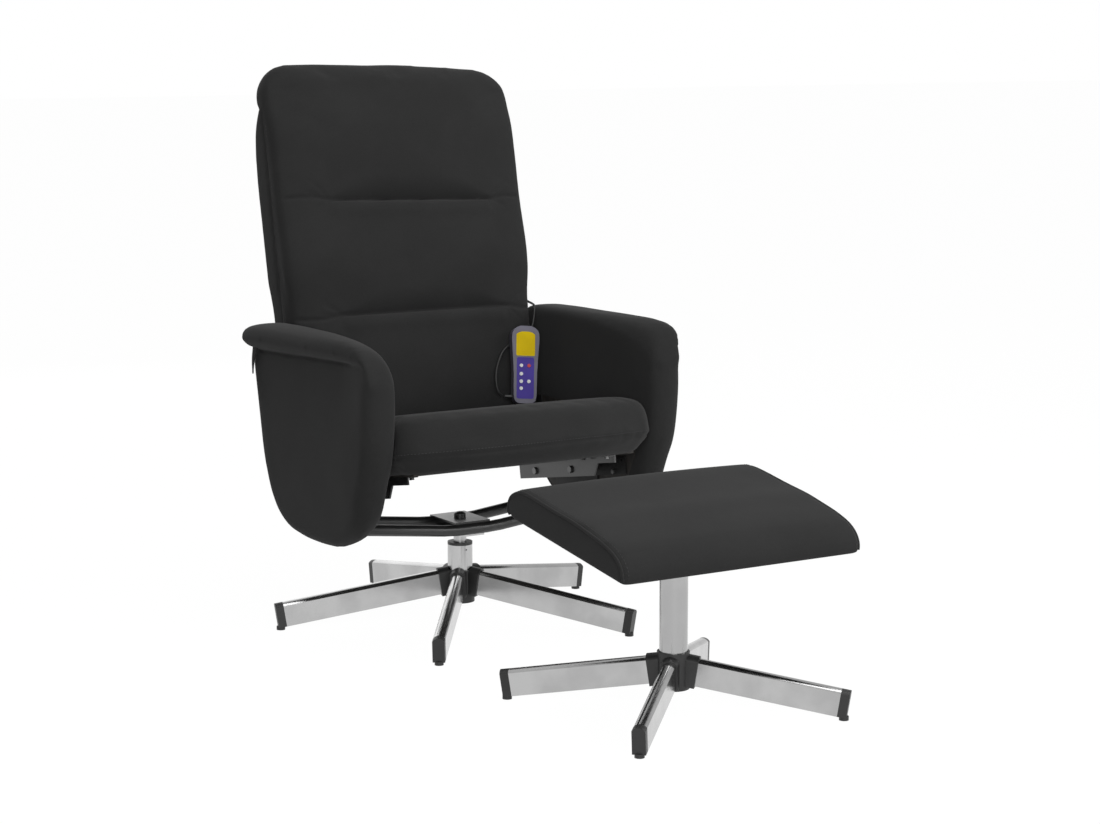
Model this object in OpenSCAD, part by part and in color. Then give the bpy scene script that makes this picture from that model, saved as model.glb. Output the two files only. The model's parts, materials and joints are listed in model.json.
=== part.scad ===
// Swivel recliner on a five-arm star base, with a hand control and a footstool on a four-arm base.
// Millimetres. The chair faces -Y, +Z is up, and the part stands on Z = 0.

/* [Star bases] */
// Radius from the chair column to the outer end of a base arm
base_reach = 350; // [320:1:400]
// Radius from the stool column to the outer end of a stool arm
stool_reach = 291; // [270:1:330]
// Width of a base arm
star_w = 22; // [18:1:26]
// Height of a base arm
star_h = 45; // [40:1:50]
// Rise of the arch along the top of a base arm
star_rise = 6; // [3:0.5:8]
// Wall of a base arm tube
star_wall = 1.5; // [1:0.1:2.5]
// Downward slope of a base arm, in degrees
star_slope = 8.8; // [6:0.1:10]
// Height of the outer end of a base arm above the floor
star_tip_z = 49.5; // [48:0.5:56]
// Length of the end cap of a base arm
cap_len = 15; // [12:1:24]
// Depth of the cap's plug inside the arm
cap_plug = 18; // [10:1:30]
// Radius of the glide under a cap
glide_r = 8; // [6:0.5:9]
// Radius at which an arm ends inside its hub
root_r = 31; // [30:0.5:34]
// Wall of a hub and of its sockets
hub_wall = 3.5; // [3:0.5:5]
// Radius to the mouth of a hub socket
socket_r = 44; // [40:1:50]
// Height of a hub's underside
hub_low_z = 36; // [30:1:38]
// Height of a hub's core
hub_h = 62; // [56:1:66]
// Thickness of a hub's floor
hub_floor = 4; // [3:0.5:6]

/* [Columns] */
// Outer radius of a column
column_r = 23.3; // [22:0.1:25]
// Wall of a column tube
column_wall = 2; // [1.5:0.1:3]
// Height of the top of the chair column
column_top_z = 145; // [130:1:148]
// Radius of the swivel spindle
spindle_r = 12; // [10:0.5:14]
// Height of the collar on the column bush
collar_h = 5; // [3:0.5:8]
// Depth of the bush inside the column
bush_depth = 34; // [20:1:40]
// Height of the bearing cup under the spindle
cup_h = 12; // [8:1:16]

/* [Underframe] */
// Distance from the swivel axis to each cross tube
tube_y = 48; // [42:1:54]
// Height of the middle of a cross tube
tube_z = 182; // [178:1:188]
// Outer radius of a cross tube
tube_r = 10.5; // [9:0.5:12]
// Wall of a cross tube
tube_wall = 1.5; // [1:0.1:2.5]
// Half of the level length in the middle of a cross tube
tube_flat = 45; // [42:1:60]
// Rise of the outer runs of a cross tube, in degrees
tube_rise = 6.6; // [4:0.1:7]
// Width of the clamp plate across the chair
plate_w = 74; // [66:1:80]
// Thickness of the clamp plate and of the spindle flange
plate_t = 3.5; // [3:0.5:5]
// Radius of the dome nut
nut_r = 11; // [9.5:0.5:13]
// Height of the dome nut
nut_h = 11; // [10:0.5:16]

/* [Seat and rails] */
// Tilt of the seat and of the upright back, in degrees
seat_tilt = 10; // [8:0.5:11]
// Height of the underside of the seat above the column
seat_z = 289; // [286:1:296]
// Half width of the seat
seat_half_w = 256; // [240:1:257]
// Front of the seat in front of the column
seat_front = 330; // [310:1:350]
// Rear of the seat behind the column
seat_rear = 94; // [84:1:95]
// Thickness of the seat at its edge
seat_t = 105; // [90:1:112]
// Crown of the top of the seat
seat_crown = 4; // [2:1:10]
// Radius of the bow across the front of the seat
seat_bow_r = 560; // [480:10:900]
// Radius of the seat's front corners
seat_corner = 58; // [40:1:80]
// Thickness of the seat board
seat_board_t = 12; // [9:1:18]
// Thickness of a side rail
rail_t = 3; // [2.5:0.5:4]
// Depth of a side rail's long strip
rail_h = 32; // [28:1:36]
// Drop from the seat's underside to the strip
rail_drop = 8; // [6:0.5:12]
// Distance from the centre plane to a seat bracket
bracket_x = 214.5; // [205:0.5:216]
// Thickness of a seat bracket
bracket_t = 3; // [2.5:0.5:4]

/* [Arms] */
// Distance from the centre plane to the inner face of an arm
arm_in = 262; // [262:1:280]
// Height of the lowest point of an arm
arm_low_z = 182; // [176:1:186]
// Height of the top of an arm
arm_top_z = 565; // [545:1:600]
// Front of an arm in front of the column
arm_front = 257; // [245:1:280]
// Rear of an arm behind the column
arm_rear = 214; // [205:1:230]
// Thickness of an arm near its lower edge
arm_low_t = 50; // [44:1:60]
// Thickness of an arm halfway up
arm_mid_t = 64; // [56:1:70]
// Reach of the rolled wing past the inner face
wing_t = 88; // [78:1:100]
// Thickness of the board inside an arm
arm_board_t = 15; // [12:1:18]

/* [Back] */
// Distance of the back's hinge behind the column, along the seat
hinge_y = 131; // [130:0.5:134]
// Height of the back's hinge above the seat's underside
hinge_z = 34; // [30:1:36]
// Furthest recline of the back, in degrees
recline_max = 25; // [10:1:26]
// Distance from the hinge up to the guide pin
guide_up = 70; // [64:1:74]
// Half width of the back
back_half_w = 258.5; // [240:0.5:258.5]
// Height of the top of the back above the hinge
back_top = 743; // [700:1:780]
// Height of the fold under the middle pad
fold_low = 265; // [240:1:280]
// Height of the fold under the head pad
fold_high = 477; // [450:1:500]
// Depth of the back from the pads' rear to the rear cover
shell_depth = 46; // [44:1:50]
// Thickness of the board inside the back
back_board_t = 12; // [9:1:15]
// Crown of a back pad at its middle
pad_crown = 24; // [15:1:32]

/* [Hand control] */
// Length of the hand control
remote_l = 150; // [140:1:160]
// Width of the hand control at its head
remote_w = 54; // [50:1:60]
// Width of the hand control at its foot
remote_foot_w = 45; // [42:1:50]
// Thickness of the hand control
remote_t = 24; // [22:1:28]
// Wall of the hand control
remote_wall = 2; // [1.6:0.1:2.4]
// Radius of a key
key_r = 3.4; // [3:0.1:3.8]
// Travel of a key
key_travel = 0.6; // [0.4:0.1:0.7]

/* [Footstool] */
// Distance from the chair column to the stool column
stool_out = 722.6; // [700:0.1:800]
// Sideways offset of the stool from the chair
stool_side = 12.5; // [0:0.5:30]
// Width of the stool cushion
stool_w = 456; // [420:1:480]
// Depth of the stool cushion
stool_d = 352; // [320:1:380]
// Height of the cushion's underside over the stool column
stool_z = 297; // [290:1:320]
// Thickness of the stool cushion
stool_t = 59; // [54:1:66]
// Forward slope of the stool cushion, in degrees
stool_slope = 8.4; // [6:0.1:9]
// Rear of the stool cushion behind its column, along its slope
stool_rear = 154; // [140:1:190]
// Thickness of the board in the stool cushion
stool_board_t = 15; // [12:1:18]

/* [Hidden] */
// Spin gap between a turning shaft and its bore
run_gap = 0.05;
// Slack round a part that is fixed in a hole or pocket
fit_gap = 0.15;
// Gap between a soft piece and its neighbours, and under a resting part
soft_gap = 0.3;
// Overrun of a cut past the face that it opens
cut = 1;

// Facets of turned parts and of small holes
turned = 64;
small = 32;

// Arch of a base arm, as the radius of its arc
star_arc_r = (star_w * star_w / 4 + star_rise * star_rise) / (2 * star_rise);
// Reach of the stool base and of the whole part along Y, used to centre the part on its box
stool_front = stool_out + (stool_reach - star_rise * sin(star_slope) + star_w / 2) * cos(45);
frame_shift = (stool_front - base_reach) / 2;
base_angles = [90, 162, 234, 306, 18];
stool_angles = [45, 135, 225, 315];

// Underframe
flange_t = 3;
tube_end_x = arm_in - rail_t - flange_t;
flange_w = 48;
tube_bend = 15;
flange_h = 24;
tube_end_z = tube_z + (tube_end_x - tube_flat) * tan(tube_rise);
spindle_top = tube_z - tube_r;
plate_z = tube_z + tube_r;
stud_r = 8;
cup_z = hub_low_z + hub_floor;
column_h = column_top_z - cup_z;

// Screws: head, shank and the pilot hole that holds the shank
screw_r = 3;
screw_head_r = 5;
screw_head_h = 4;
screw_depth = 10;
frame_screw_dy = 15;

// Rails, in the tilted plane of the seat
rail_x = arm_in - rail_t;
rail_front = 165;
rail_rear = hinge_y;
rail_top = -rail_drop;
rail_low = rail_top - rail_h;
ear_w = 36;
ear_top = hinge_z + guide_up + 18;
foot_half_w = 72;
foot_low_z = 194;
glide_bolt_r = 4;
glide_front_y = -45;
glide_rear_y = 85;
glide_z = rail_top - rail_h / 2;
glide_travel = guide_up * sin(recline_max);
slot_slack = 0.8;
rail_screw_ys = [-125, 20, 112];
rail_screw_z = rail_low + 6;
peep_ys = [-154, -116];
peep_r = 2.6;
guide_pin_r = 4;

// Seat
bracket_low = rail_low + 2;
bracket_front = 200;
bracket_step = 60;
bracket_toe = 15;
bracket_rear = hinge_y + 14;
bracket_rear_top = hinge_z + 16;
bracket_flange = 22;
bracket_rise_y = seat_rear + 10;
seat_screw_ys = [-190, -110, 0, 70];
hinge_bolt_r = 5;
lug_t = 3;
lug_x = bracket_x + bracket_t + cut;
board_in = 26;

board_inset = 28;
board_front_inset = 85;
seat_rear_corner = 14;
seat_mid_y = (seat_rear - seat_front) / 2;

// Rings of the seat from below: [inset share, height share], both of its thickness, then the crown's plan shares
seat_ring_shares = [[0.32, 0], [0.2, 0.01], [0.12, 0.04], [0.06, 0.1], [0.022, 0.19], [0.012, 0.27], [0.03, 0.315],
    [0.006, 0.36], [0, 0.48], [0.003, 0.62], [0.012, 0.74], [0.035, 0.86], [0.075, 0.94], [0.14, 0.985], [0.22, 1]];
seat_top_shares = [0.8, 0.6, 0.4, 0.2];

// Back
pad_rear = 25.5;
pad_edge_front = -8;
notch_x = 212;
notch_top = 97;
pad_low = 25;
shell_w = pad_rear + soft_gap + shell_depth;
shell_low = 30;
shell_top = 668;
shell_wall = 3;
board_w0 = pad_rear + soft_gap;
board_low = 25;
board_waist = 116;
board_waist_x = 214;
board_top = 640;
board_margin = 12;
lug_front = -16;
lug_low = -16;
lug_high = 90;
lug_flange = 36;
lug_flange_low = 28;
lug_flange_high = 112;
lug_screw_vs = [42, 70, 98];
motor_r = 32;
motor_h = 16;
motor_x = 92;
motor_vs = [165, 365];
box_w = 110;
box_h = 66;
box_t = 22;
box_v = 64;
inlet_r = 3.2;
inlet_wall = 2.4;
inlet_len = 12;
inlet_x = 34;
gland_v = 290;
gland_w = 48;
gland_r = 5.5;
gland_len = 3;
shell_corner = 16;
shell_depth_shares = [[0, 0.86], [0.02, 0.97], [0.06, 1], [0.74, 1], [0.89, 0.86], [0.945, 0.68], [0.975, 0.44],
    [1, 0.22]];

// Front of a pad, from its top: [height share, crown share at the middle, crown share at the sides]
pad_shares = [[1, -0.6, -0.25], [0.985, -0.17, -0.08], [0.95, 0.25, 0], [0.88, 0.58, 0.04], [0.75, 0.88, 0.12],
    [0.55, 1.02, 0.2], [0.35, 1, 0.17], [0.2, 0.82, 0.08], [0.1, 0.54, 0.04], [0.04, 0.17, -0.04],
    [0.012, -0.17, -0.12], [0, -0.6, -0.25]];
pad_side_shares = [1, 0.985, 0.95, 0.88, 0.76, 0.58, 0.38, 0.18];
pad_round_shares = [0.3, 0.1, 0.02, 0, 0, 0, 0, 0];

// Head pad, from the fold up its front and over the top: [depth and height share at the middle, at the sides]
head_depth = 72;
head_rear = pad_rear / head_depth;
head_seat = (shell_top - fold_high) / (back_top - fold_high);
head_shares = [[0.19, 0.004, 0.03, 0.004], [0, 0.011, 0, 0.011], [-0.14, 0.05, -0.03, 0.055],
    [-0.23, 0.125, -0.04, 0.14], [-0.26, 0.255, -0.03, 0.255], [-0.235, 0.425, 0, 0.425], [-0.165, 0.595, 0.08, 0.58],
    [-0.03, 0.765, 0.18, 0.69], [0.14, 0.885, 0.235, 0.8], [0.34, 0.967, 0.28, 0.87], [0.55, 1, 0.32, 0.9],
    [0.77, 0.975, 0.375, 0.885], [0.94, 0.914, 0.41, 0.846], [1, 0.846, 0.4, 0.8], [0.93, 0.786, 0.38, 0.763],
    [0.75, 0.741, 0.365, 0.735], [0.53, head_seat + 0.022, head_rear + 0.004, head_seat + 0.014],
    [head_rear, head_seat + 0.006, head_rear, head_seat + 0.006], [head_rear, 0.6, head_rear, 0.6],
    [head_rear, 0.3, head_rear, 0.3], [head_rear, 0.006, head_rear, 0.006]];

// Hand control: place of its foot on the seat, turn, lean and roll
remote_x = 188;
remote_y = 57;
remote_rest = seat_t + 2.9;
remote_yaw = 18;
remote_lean = 14;
remote_roll = 4;
remote_split = 11;
remote_shares = [[0, 0.5], [0.012, 0.72], [0.035, 0.88], [0.07, 0.97], [0.11, 1], [0.4, 1.02], [0.6, 1.1]];
remote_head_shares = [[0.74, 0.97], [0.84, 1], [0.9, 0.98], [0.945, 0.88], [0.975, 0.7], [1, 0.4]];
panel_t = 0.5;
panel_gap = 0.1;
panel_corner = 4;
window_w = 37;
window_h = 47;
window_v = 92;
label_w = 34;
label_h = 80;
label_v = 9;
key_shares = [[-0.24, 0.487], [0.2, 0.487], [-0.24, 0.38], [-0.24, 0.283], [0.2, 0.283], [-0.24, 0.193]];
key_lip = 1.1;
key_lip_t = 1.2;
key_proud = 1.2;
key_gap = 0.15;
key_stem = 3.8;
board_v = 12;
board_l = 92;
board_w = 34;
board_t = 1.6;
board_y = 8;
post_r = 3;
relief_v = 14;
relief_y = 17.5;
relief_r = 4.2;
relief_tip_r = 3;
relief_l = 14;

// Cord of the hand control: radius and route, in the chair's own frame
cord_r = 2.25;
cord_route = [[154, 105.3, 399.9], [148, 106, 406.5], [145, 109, 419], [146, 113, 438], [153, 118, 458], [168, 126, 479],
    [189, 135, 491], [212, 142, 498], [234, 146, 506], [248, 149, 520], [254, 151, 537], [258, 155, 551],
    [263, 164, 561], [266, 178, 564], [267, 194, 566], [268, 210, 570], [267, 222, 575], [264, 229, 577]];
cord_sides = 8;
cord_steps = 4;

// Arms: outline from the front end, under the arm, to the rear end: [length share, height share]
arm_low_shares = [[0, 0.687], [0.011, 0.556], [0.032, 0.439], [0.072, 0.326], [0.122, 0.193], [0.193, 0.095],
    [0.3, 0.028], [0.42, 0.004], [0.546, 0], [0.65, 0.006], [0.745, 0.031], [0.825, 0.1], [0.875, 0.206],
    [0.907, 0.334], [0.936, 0.496], [0.966, 0.655], [0.987, 0.773], [1, 0.862]];
arm_top_shares = [[0, 0.796], [0.015, 0.856], [0.036, 0.909], [0.08, 0.958], [0.14, 0.984], [0.3, 0.997], [0.5, 1],
    [0.69, 0.992], [0.88, 0.976], [0.97, 0.966], [1, 0.95]];
crease_shares = [[0, 0.02], [0.1, 0.055], [0.3, 0.104], [0.5, 0.122], [0.9, 0.128], [1, 0.07]];
nose_shares = [[0, 0.3], [0.011, 0.62], [0.032, 0.86], [0.075, 0.98], [0.12, 1], [0.94, 1], [0.987, 0.94], [1, 0.6]];
wing_shares = [[0, 0.8], [0.08, 0.87], [0.4, 0.96], [0.8, 1], [1, 1]];
roll_shares = [[0, 0.16], [0.15, 0.13], [0.45, 0.055], [1, 0.045]];
arm_board_shares = [[0.12, 0.5], [0.13, 0.36], [0.22, 0.14], [0.36, 0.045], [0.7, 0.045], [0.82, 0.16], [0.87, 0.3],
    [0.885, 0.52], [0.86, 0.54], [0.15, 0.54]];
arm_edge = 20;
arm_neck = 6;

// Footstool: side outline of the cushion from its lower rear corner: [depth share from the rear, height share]
stool_shares = [[0.117, 0], [0.05, 0.04], [0.012, 0.11], [0, 0.2], [0.001, 0.43], [0.022, 0.66], [0.051, 0.8],
    [0.09, 0.92], [0.13, 0.99], [0.219, 1.003], [0.348, 0.988], [0.458, 0.981], [0.575, 0.99], [0.69, 0.947],
    [0.804, 0.885], [0.888, 0.8], [0.942, 0.661], [0.976, 0.503], [0.9966, 0.271], [1, 0], [0.75, 0], [0.4, 0]];
stool_side_shares = [[1, 0.93], [0.985, 0.985], [0.95, 1], [0.8, 1], [0.6, 1], [0.4, 1], [0.2, 1]];
stool_crown = 4;
stool_board_x = 200;
stool_board_front = 165;
stool_board_rear = 105;
stool_plate_w = 150;
stool_plate_d = 110;
stool_plate_t = 4;
stool_screw_x = 60;
stool_screw_y = 40;

// Helpers

// Puts a piece drawn in the chair's frame into the part's frame
module placed() {
    translate([0, frame_shift, 0]) children();
}

// The same for the footstool, drawn round its own column
module stool_placed() {
    placed() translate([-stool_side, -stool_out, 0]) children();
}

// Tilts a piece drawn in the plane of the seat: Y along the seat, Z square to it
module on_seat() {
    placed() translate([0, 0, seat_z]) rotate([-seat_tilt, 0, 0]) children();
}

// Moves a piece of the back, drawn from the hinge with Z up the back and Y to the rear
module on_back() {
    on_seat() translate([0, hinge_y, hinge_z]) children();
}

// Mirrors a piece drawn for the right-hand side of the picture (+X) when side is -1
module sided(side) {
    mirror([side < 0 ? 1 : 0, 0, 0]) children();
}

// Lays a flat outline drawn in [Y, Z] at a distance x and gives it a thickness along X
module side_plate(x, t) {
    translate([x, 0, 0]) rotate([90, 0, 90]) linear_extrude(t) children();
}

// Round bar along X from x with length l
module bar_x(x, l, r, faces = small) {
    translate([x, 0, 0]) rotate([0, 90, 0]) cylinder(r = r, h = l, $fn = faces);
}

function mean_point(ring) = [for (k = [0:2]) let (v = [for (q = ring) q[k]]) (v * [for (q = v) 1]) / len(v)];
function mix(a, b, s) = a + (b - a) * s;
function shape_power(v, p) = sign(v) * pow(abs(v), p);

// Smooth curve through hand-chosen points, with n steps between neighbours
function spline_at(a, b, c, d, s) = 0.5 * (2 * b + (c - a) * s + (2 * a - 5 * b + 4 * c - d) * s * s
    + (3 * b - a - 3 * c + d) * s * s * s);
function spline(p, n) = let (last = len(p) - 1) [
    for (i = [0:last - 1], k = [0:n - 1])
        spline_at(p[max(i - 1, 0)], p[i], p[i + 1], p[min(i + 2, last)], k / n),
    p[last]];
function closed_spline(p, n) = let (m = len(p)) [
    for (i = [0:m - 1], k = [0:n - 1])
        spline_at(p[(i + m - 1) % m], p[i], p[(i + 1) % m], p[(i + 2) % m], k / n)];

// Closed skin over rings of equal counts, which run anticlockwise seen from the last ring
module skin(rings) {
    n = len(rings[0]);
    m = len(rings);
    body = [for (r = rings) each r];
    points = concat(body, [mean_point(rings[0]), mean_point(rings[m - 1])]);
    sides = [for (j = [0:m - 2], i = [0:n - 1])
        let (a = j * n + i, b = j * n + (i + 1) % n) each [[a, b + n, b], [a, a + n, b + n]]];
    first_end = [for (i = [0:n - 1]) [m * n, i, (i + 1) % n]];
    last_end = [for (i = [0:n - 1]) [m * n + 1, (m - 1) * n + (i + 1) % n, (m - 1) * n + i]];
    polyhedron(points = points, faces = concat(sides, first_end, last_end), convexity = 8);
}

// Screw along Z: the head lies under the origin and the shank reaches up to the given length
module screw(length) {
    translate([0, 0, -screw_head_h]) cylinder(r = screw_head_r, h = screw_head_h, $fn = 6);
    translate([0, 0, -cut]) cylinder(r = screw_r, h = length + cut, $fn = small);
}

// Hole for that screw, opened at both ends
module screw_hole(length) {
    translate([0, 0, -cut]) cylinder(r = screw_r + fit_gap, h = length + 2 * cut, $fn = small);
}

// Star bases

// Section of a base arm, top of the arch at the origin, grown by g on every side
module star_section(g) {
    half = star_w / 2 + g;
    low = star_h + g;
    arc_r = star_arc_r + g;
    shoulder = arc_r - sqrt(arc_r * arc_r - half * half);
    translate([-half, -low]) square([2 * half, low + g - shoulder]);
    intersection() {
        translate([0, g - arc_r]) circle(r = arc_r, $fn = turned);
        translate([-half, -low]) square([2 * half, low + g]);
    }
}

// Length of arm section from a radius outwards, measured back from the arm's outer end
function star_back(reach, r) = (reach - r) / cos(star_slope);

module star_run(g, from, to) {
    translate([-from, 0, 0]) rotate([90, 0, 90]) linear_extrude(from - to) star_section(g);
}

module star_placed(angle, reach) {
    rotate([0, 0, angle]) translate([reach, 0, star_tip_z]) rotate([0, star_slope, 0]) children();
}

module star_arm(angle, reach) {
    root = star_back(reach, root_r);
    color("silver") star_placed(angle, reach) difference() {
        star_run(0, root, cap_len);
        star_run(-star_wall, root + cut, cap_len - cut);
    }
}

module star_cap(angle, reach) {
    color("#161616") {
        star_placed(angle, reach) {
            star_run(0, cap_len, 0);
            star_run(-star_wall - fit_gap, cap_len + cap_plug, cap_len - cut);
        }
        rotate([0, 0, angle]) translate([reach - cap_len / 2 - glide_r / 2, 0, 0])
            cylinder(r = glide_r, h = star_tip_z - star_h + glide_r / 4, $fn = small);
    }
}

module star_hub(angles, reach) {
    core_r = column_r + fit_gap + hub_wall;
    color("#1a1a1a") difference() {
        union() {
            translate([0, 0, hub_low_z]) cylinder(r = core_r, h = hub_h, $fn = turned);
            for (a = angles)
                star_placed(a, reach)
                    star_run(hub_wall, star_back(reach, core_r - hub_wall), star_back(reach, socket_r));
        }
        for (a = angles)
            star_placed(a, reach) star_run(fit_gap, star_back(reach, root_r - fit_gap), star_back(reach, socket_r + cut));
        translate([0, 0, cup_z]) cylinder(r = column_r + fit_gap, h = hub_h + star_tip_z, $fn = turned);
    }
}

module base_hub() {
    placed() star_hub(base_angles, base_reach);
}

module base_arms() {
    placed() for (a = base_angles) star_arm(a, base_reach);
}

module base_end_caps() {
    placed() for (a = base_angles) star_cap(a, base_reach);
}

// Column and swivel

module column_tube() {
    color("silver") placed() translate([0, 0, cup_z]) difference() {
        cylinder(r = column_r, h = column_h, $fn = turned);
        translate([0, 0, -cut]) cylinder(r = column_r - column_wall, h = column_h + 2 * cut, $fn = turned);
        translate([0, 0, column_h - collar_h - screw_r]) rotate([90, 0, 0])
            cylinder(r = screw_r / 2, h = column_r + cut, $fn = small);
    }
}

module column_bush() {
    color("#141414") placed() difference() {
        union() {
            translate([0, 0, column_top_z]) cylinder(r = column_r, h = collar_h, $fn = turned);
            translate([0, 0, column_top_z - bush_depth])
                cylinder(r = column_r - column_wall - fit_gap, h = bush_depth, $fn = turned);
        }
        translate([0, 0, column_top_z - bush_depth - cut])
            cylinder(r = spindle_r + run_gap, h = bush_depth + collar_h + 2 * cut, $fn = turned);
    }
}

module spindle_cup() {
    color("gainsboro") placed() translate([0, 0, cup_z]) difference() {
        cylinder(r = column_r - column_wall - fit_gap, h = cup_h, $fn = turned);
        translate([0, 0, cup_h / 2]) cylinder(r = spindle_r + run_gap, h = cup_h, $fn = turned);
    }
}

module swivel_spindle() {
    low = cup_z + cup_h / 2 + soft_gap;
    color("lightsteelblue") placed() {
        translate([0, 0, low]) cylinder(r = spindle_r, h = spindle_top - plate_t - low, $fn = turned);
        translate([-plate_w / 3, -tube_y, spindle_top - plate_t]) cube([2 * plate_w / 3, 2 * tube_y, plate_t]);
        translate([0, 0, spindle_top]) cylinder(r = stud_r, h = plate_z - spindle_top + plate_t + nut_h / 2, $fn = turned);
    }
}

module clamp_plate() {
    color("#202020") placed() difference() {
        translate([-plate_w / 2, -tube_y, plate_z]) cube([plate_w, 2 * tube_y, plate_t]);
        translate([0, 0, plate_z - cut]) cylinder(r = stud_r + fit_gap, h = plate_t + 2 * cut, $fn = turned);
    }
}

module dome_nut() {
    dome_r = (nut_r * nut_r + nut_h * nut_h / 9) / (2 * nut_h / 3);
    low = plate_z + plate_t;
    color("#2a2a2a") placed() difference() {
        intersection() {
            translate([0, 0, low]) cylinder(r = nut_r, h = nut_h, $fn = turned);
            translate([0, 0, low + nut_h - dome_r]) sphere(r = dome_r, $fn = turned);
        }
        translate([0, 0, low - cut]) cylinder(r = stud_r + fit_gap, h = cut + nut_h / 2 + fit_gap, $fn = turned);
    }
}

// One cross tube as a solid bar of radius r: a level middle and two rising ends
module cross_bar(r) {
    end_x = tube_end_x + 2 * tube_r;
    half = [[tube_flat - tube_bend, 0], [tube_flat + tube_bend, tube_bend * tan(tube_rise)],
        [end_x, (end_x - tube_flat) * tan(tube_rise)]];
    tube_along(concat([for (i = [2:-1:0]) [-half[i][0], 0, half[i][1]]], [for (q = half) [q[0], 0, q[1]]]), r, small);
}

module cross_tube(y) {
    color("#171717") placed() translate([0, y, tube_z]) {
        difference() {
            cross_bar(tube_r);
            cross_bar(tube_r - tube_wall);
            for (side = [-1, 1]) sided(side) translate([tube_end_x, -flange_w, -flange_w])
                cube([flange_w, 2 * flange_w, 4 * flange_w]);
        }
        for (side = [-1, 1]) sided(side) translate([0, 0, tube_end_z - tube_z]) difference() {
            translate([tube_end_x, -flange_w / 2, -flange_h / 2]) cube([flange_t, flange_w, flange_h]);
            for (s = [-1, 1]) translate([0, s * frame_screw_dy, 0])
                rotate([0, 90, 0]) translate([0, 0, tube_end_x]) screw_hole(flange_t);
        }
    }
}

module cross_tube_front() {
    cross_tube(-tube_y);
}

module cross_tube_rear() {
    cross_tube(tube_y);
}

// Places of the screws that go into each arm board, at the faces that their heads press on
module at_flange_screws() {
    for (y = [-tube_y, tube_y], s = [-1, 1])
        placed() translate([tube_end_x, y + s * frame_screw_dy, tube_end_z]) rotate([0, 90, 0]) children();
}

module at_rail_screws() {
    for (y = rail_screw_ys) on_seat() translate([rail_x, y, rail_screw_z]) rotate([0, 90, 0]) children();
}

module frame_screws() {
    color("#3a3a3c") for (side = [-1, 1]) sided(side) {
        at_flange_screws() screw(flange_t + rail_t + screw_depth);
        at_rail_screws() screw(rail_t + screw_depth);
    }
}

// Side rails

// Slot along Y between two centres, cut through the rail
module rail_slot(y0, y1, z0, z1, r) {
    translate([rail_x - cut, y0, z0]) rotate([0, 90, 0]) cylinder(r = r, h = rail_t + 2 * cut, $fn = small);
    translate([rail_x - cut, y1, z1]) rotate([0, 90, 0]) cylinder(r = r, h = rail_t + 2 * cut, $fn = small);
    if (y0 != y1) translate([rail_x - cut, min(y0, y1), z0 - r]) cube([rail_t + 2 * cut, abs(y1 - y0), 2 * r]);
    if (z0 != z1) translate([rail_x - cut, y0 - r, min(z0, z1)]) cube([rail_t + 2 * cut, 2 * r, abs(z1 - z0)]);
}

module side_rail(side) {
    pin_z = hinge_z + guide_up;
    drop = guide_up * (1 - cos(recline_max));
    color("#4a4a4d") sided(side) difference() {
        union() {
            on_seat() side_plate(rail_x, rail_t) polygon([[-rail_front, rail_top], [-rail_front, rail_low],
                [rail_rear - ear_w / 2, rail_low], [rail_rear + ear_w / 2, rail_top], [rail_rear + ear_w / 2, ear_top],
                [rail_rear - ear_w / 2, ear_top], [rail_rear - ear_w / 2, rail_top]]);
            placed() translate([rail_x, -foot_half_w, foot_low_z])
                cube([rail_t, 2 * foot_half_w, seat_z + glide_z - foot_low_z]);
        }
        on_seat() {
            for (y = [glide_front_y, glide_rear_y])
                rail_slot(y + slot_slack, y - glide_travel - slot_slack, glide_z, glide_z, glide_bolt_r + fit_gap);
            rail_slot(hinge_y, hinge_y, pin_z + slot_slack, pin_z - drop - slot_slack, guide_pin_r + slot_slack);
            for (y = peep_ys) translate([0, y, rail_top - 2 * peep_r])
                bar_x(rail_x - cut, rail_t + 2 * cut, peep_r);
        }
        at_flange_screws() screw_hole(flange_t + rail_t);
        at_rail_screws() screw_hole(rail_t);
    }
}

module side_rail_left() {
    side_rail(-1);
}

module side_rail_right() {
    side_rail(1);
}

// Arms

arm_len = arm_front + arm_rear;
arm_h = arm_top_z - arm_low_z;
function arm_top_at(s) = arm_low_z + arm_h * lookup(s, arm_top_shares);

// Section of an arm at length share s, lower edge at z: [distance from the inner face, height]
function arm_section(s, z) = let (
    top = arm_top_at(s),
    crease = top - arm_h * lookup(s, crease_shares),
    wing = wing_t * lookup(s, wing_shares),
    lip = top - crease,
    edge = min(arm_edge, (crease - z) / 3),
    roll = min(arm_h * lookup(s, roll_shares), (top - z - edge) / 2),
    straight = top - 1.2 * roll,
    neck = mix(arm_mid_t - arm_neck, wing * 0.93, 1 - min(1, lookup(s, crease_shares) / 0.12)),
    side_z = [for (k = [0, 0.3, 0.62]) mix(z + edge, crease, k)],
    side_t = [for (k = side_z) mix(arm_low_t, arm_mid_t, min(1, max(0, (k - arm_low_z) / (arm_h * 0.6))))]) [
    [edge, z],
    [edge * 0.3, z + edge * 0.3],
    [0, z + edge],
    [0, mix(z + edge, straight, 0.5)],
    [0, straight],
    [roll * 0.12, top - roll * 0.6],
    [roll * 0.42, top - roll * 0.24],
    [roll, top - roll * 0.05],
    [mix(roll, wing, 0.6), top],
    [mix(roll, wing, 0.86), top - lip * 0.08],
    [wing * 0.97, top - lip * 0.24],
    [wing, top - lip * 0.46],
    [mix(neck, wing, 0.88), top - lip * 0.68],
    [mix(neck, wing, 0.55), top - lip * 0.87],
    [mix(neck, wing, 0.14), crease + lip * 0.02],
    [neck, crease - lip * 0.12],
    [side_t[2], side_z[2]],
    [side_t[1], side_z[1]],
    [side_t[0], side_z[0]],
    [side_t[0] - edge * 0.3, z + edge * 0.3],
    [side_t[0] - edge, z]];

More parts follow.
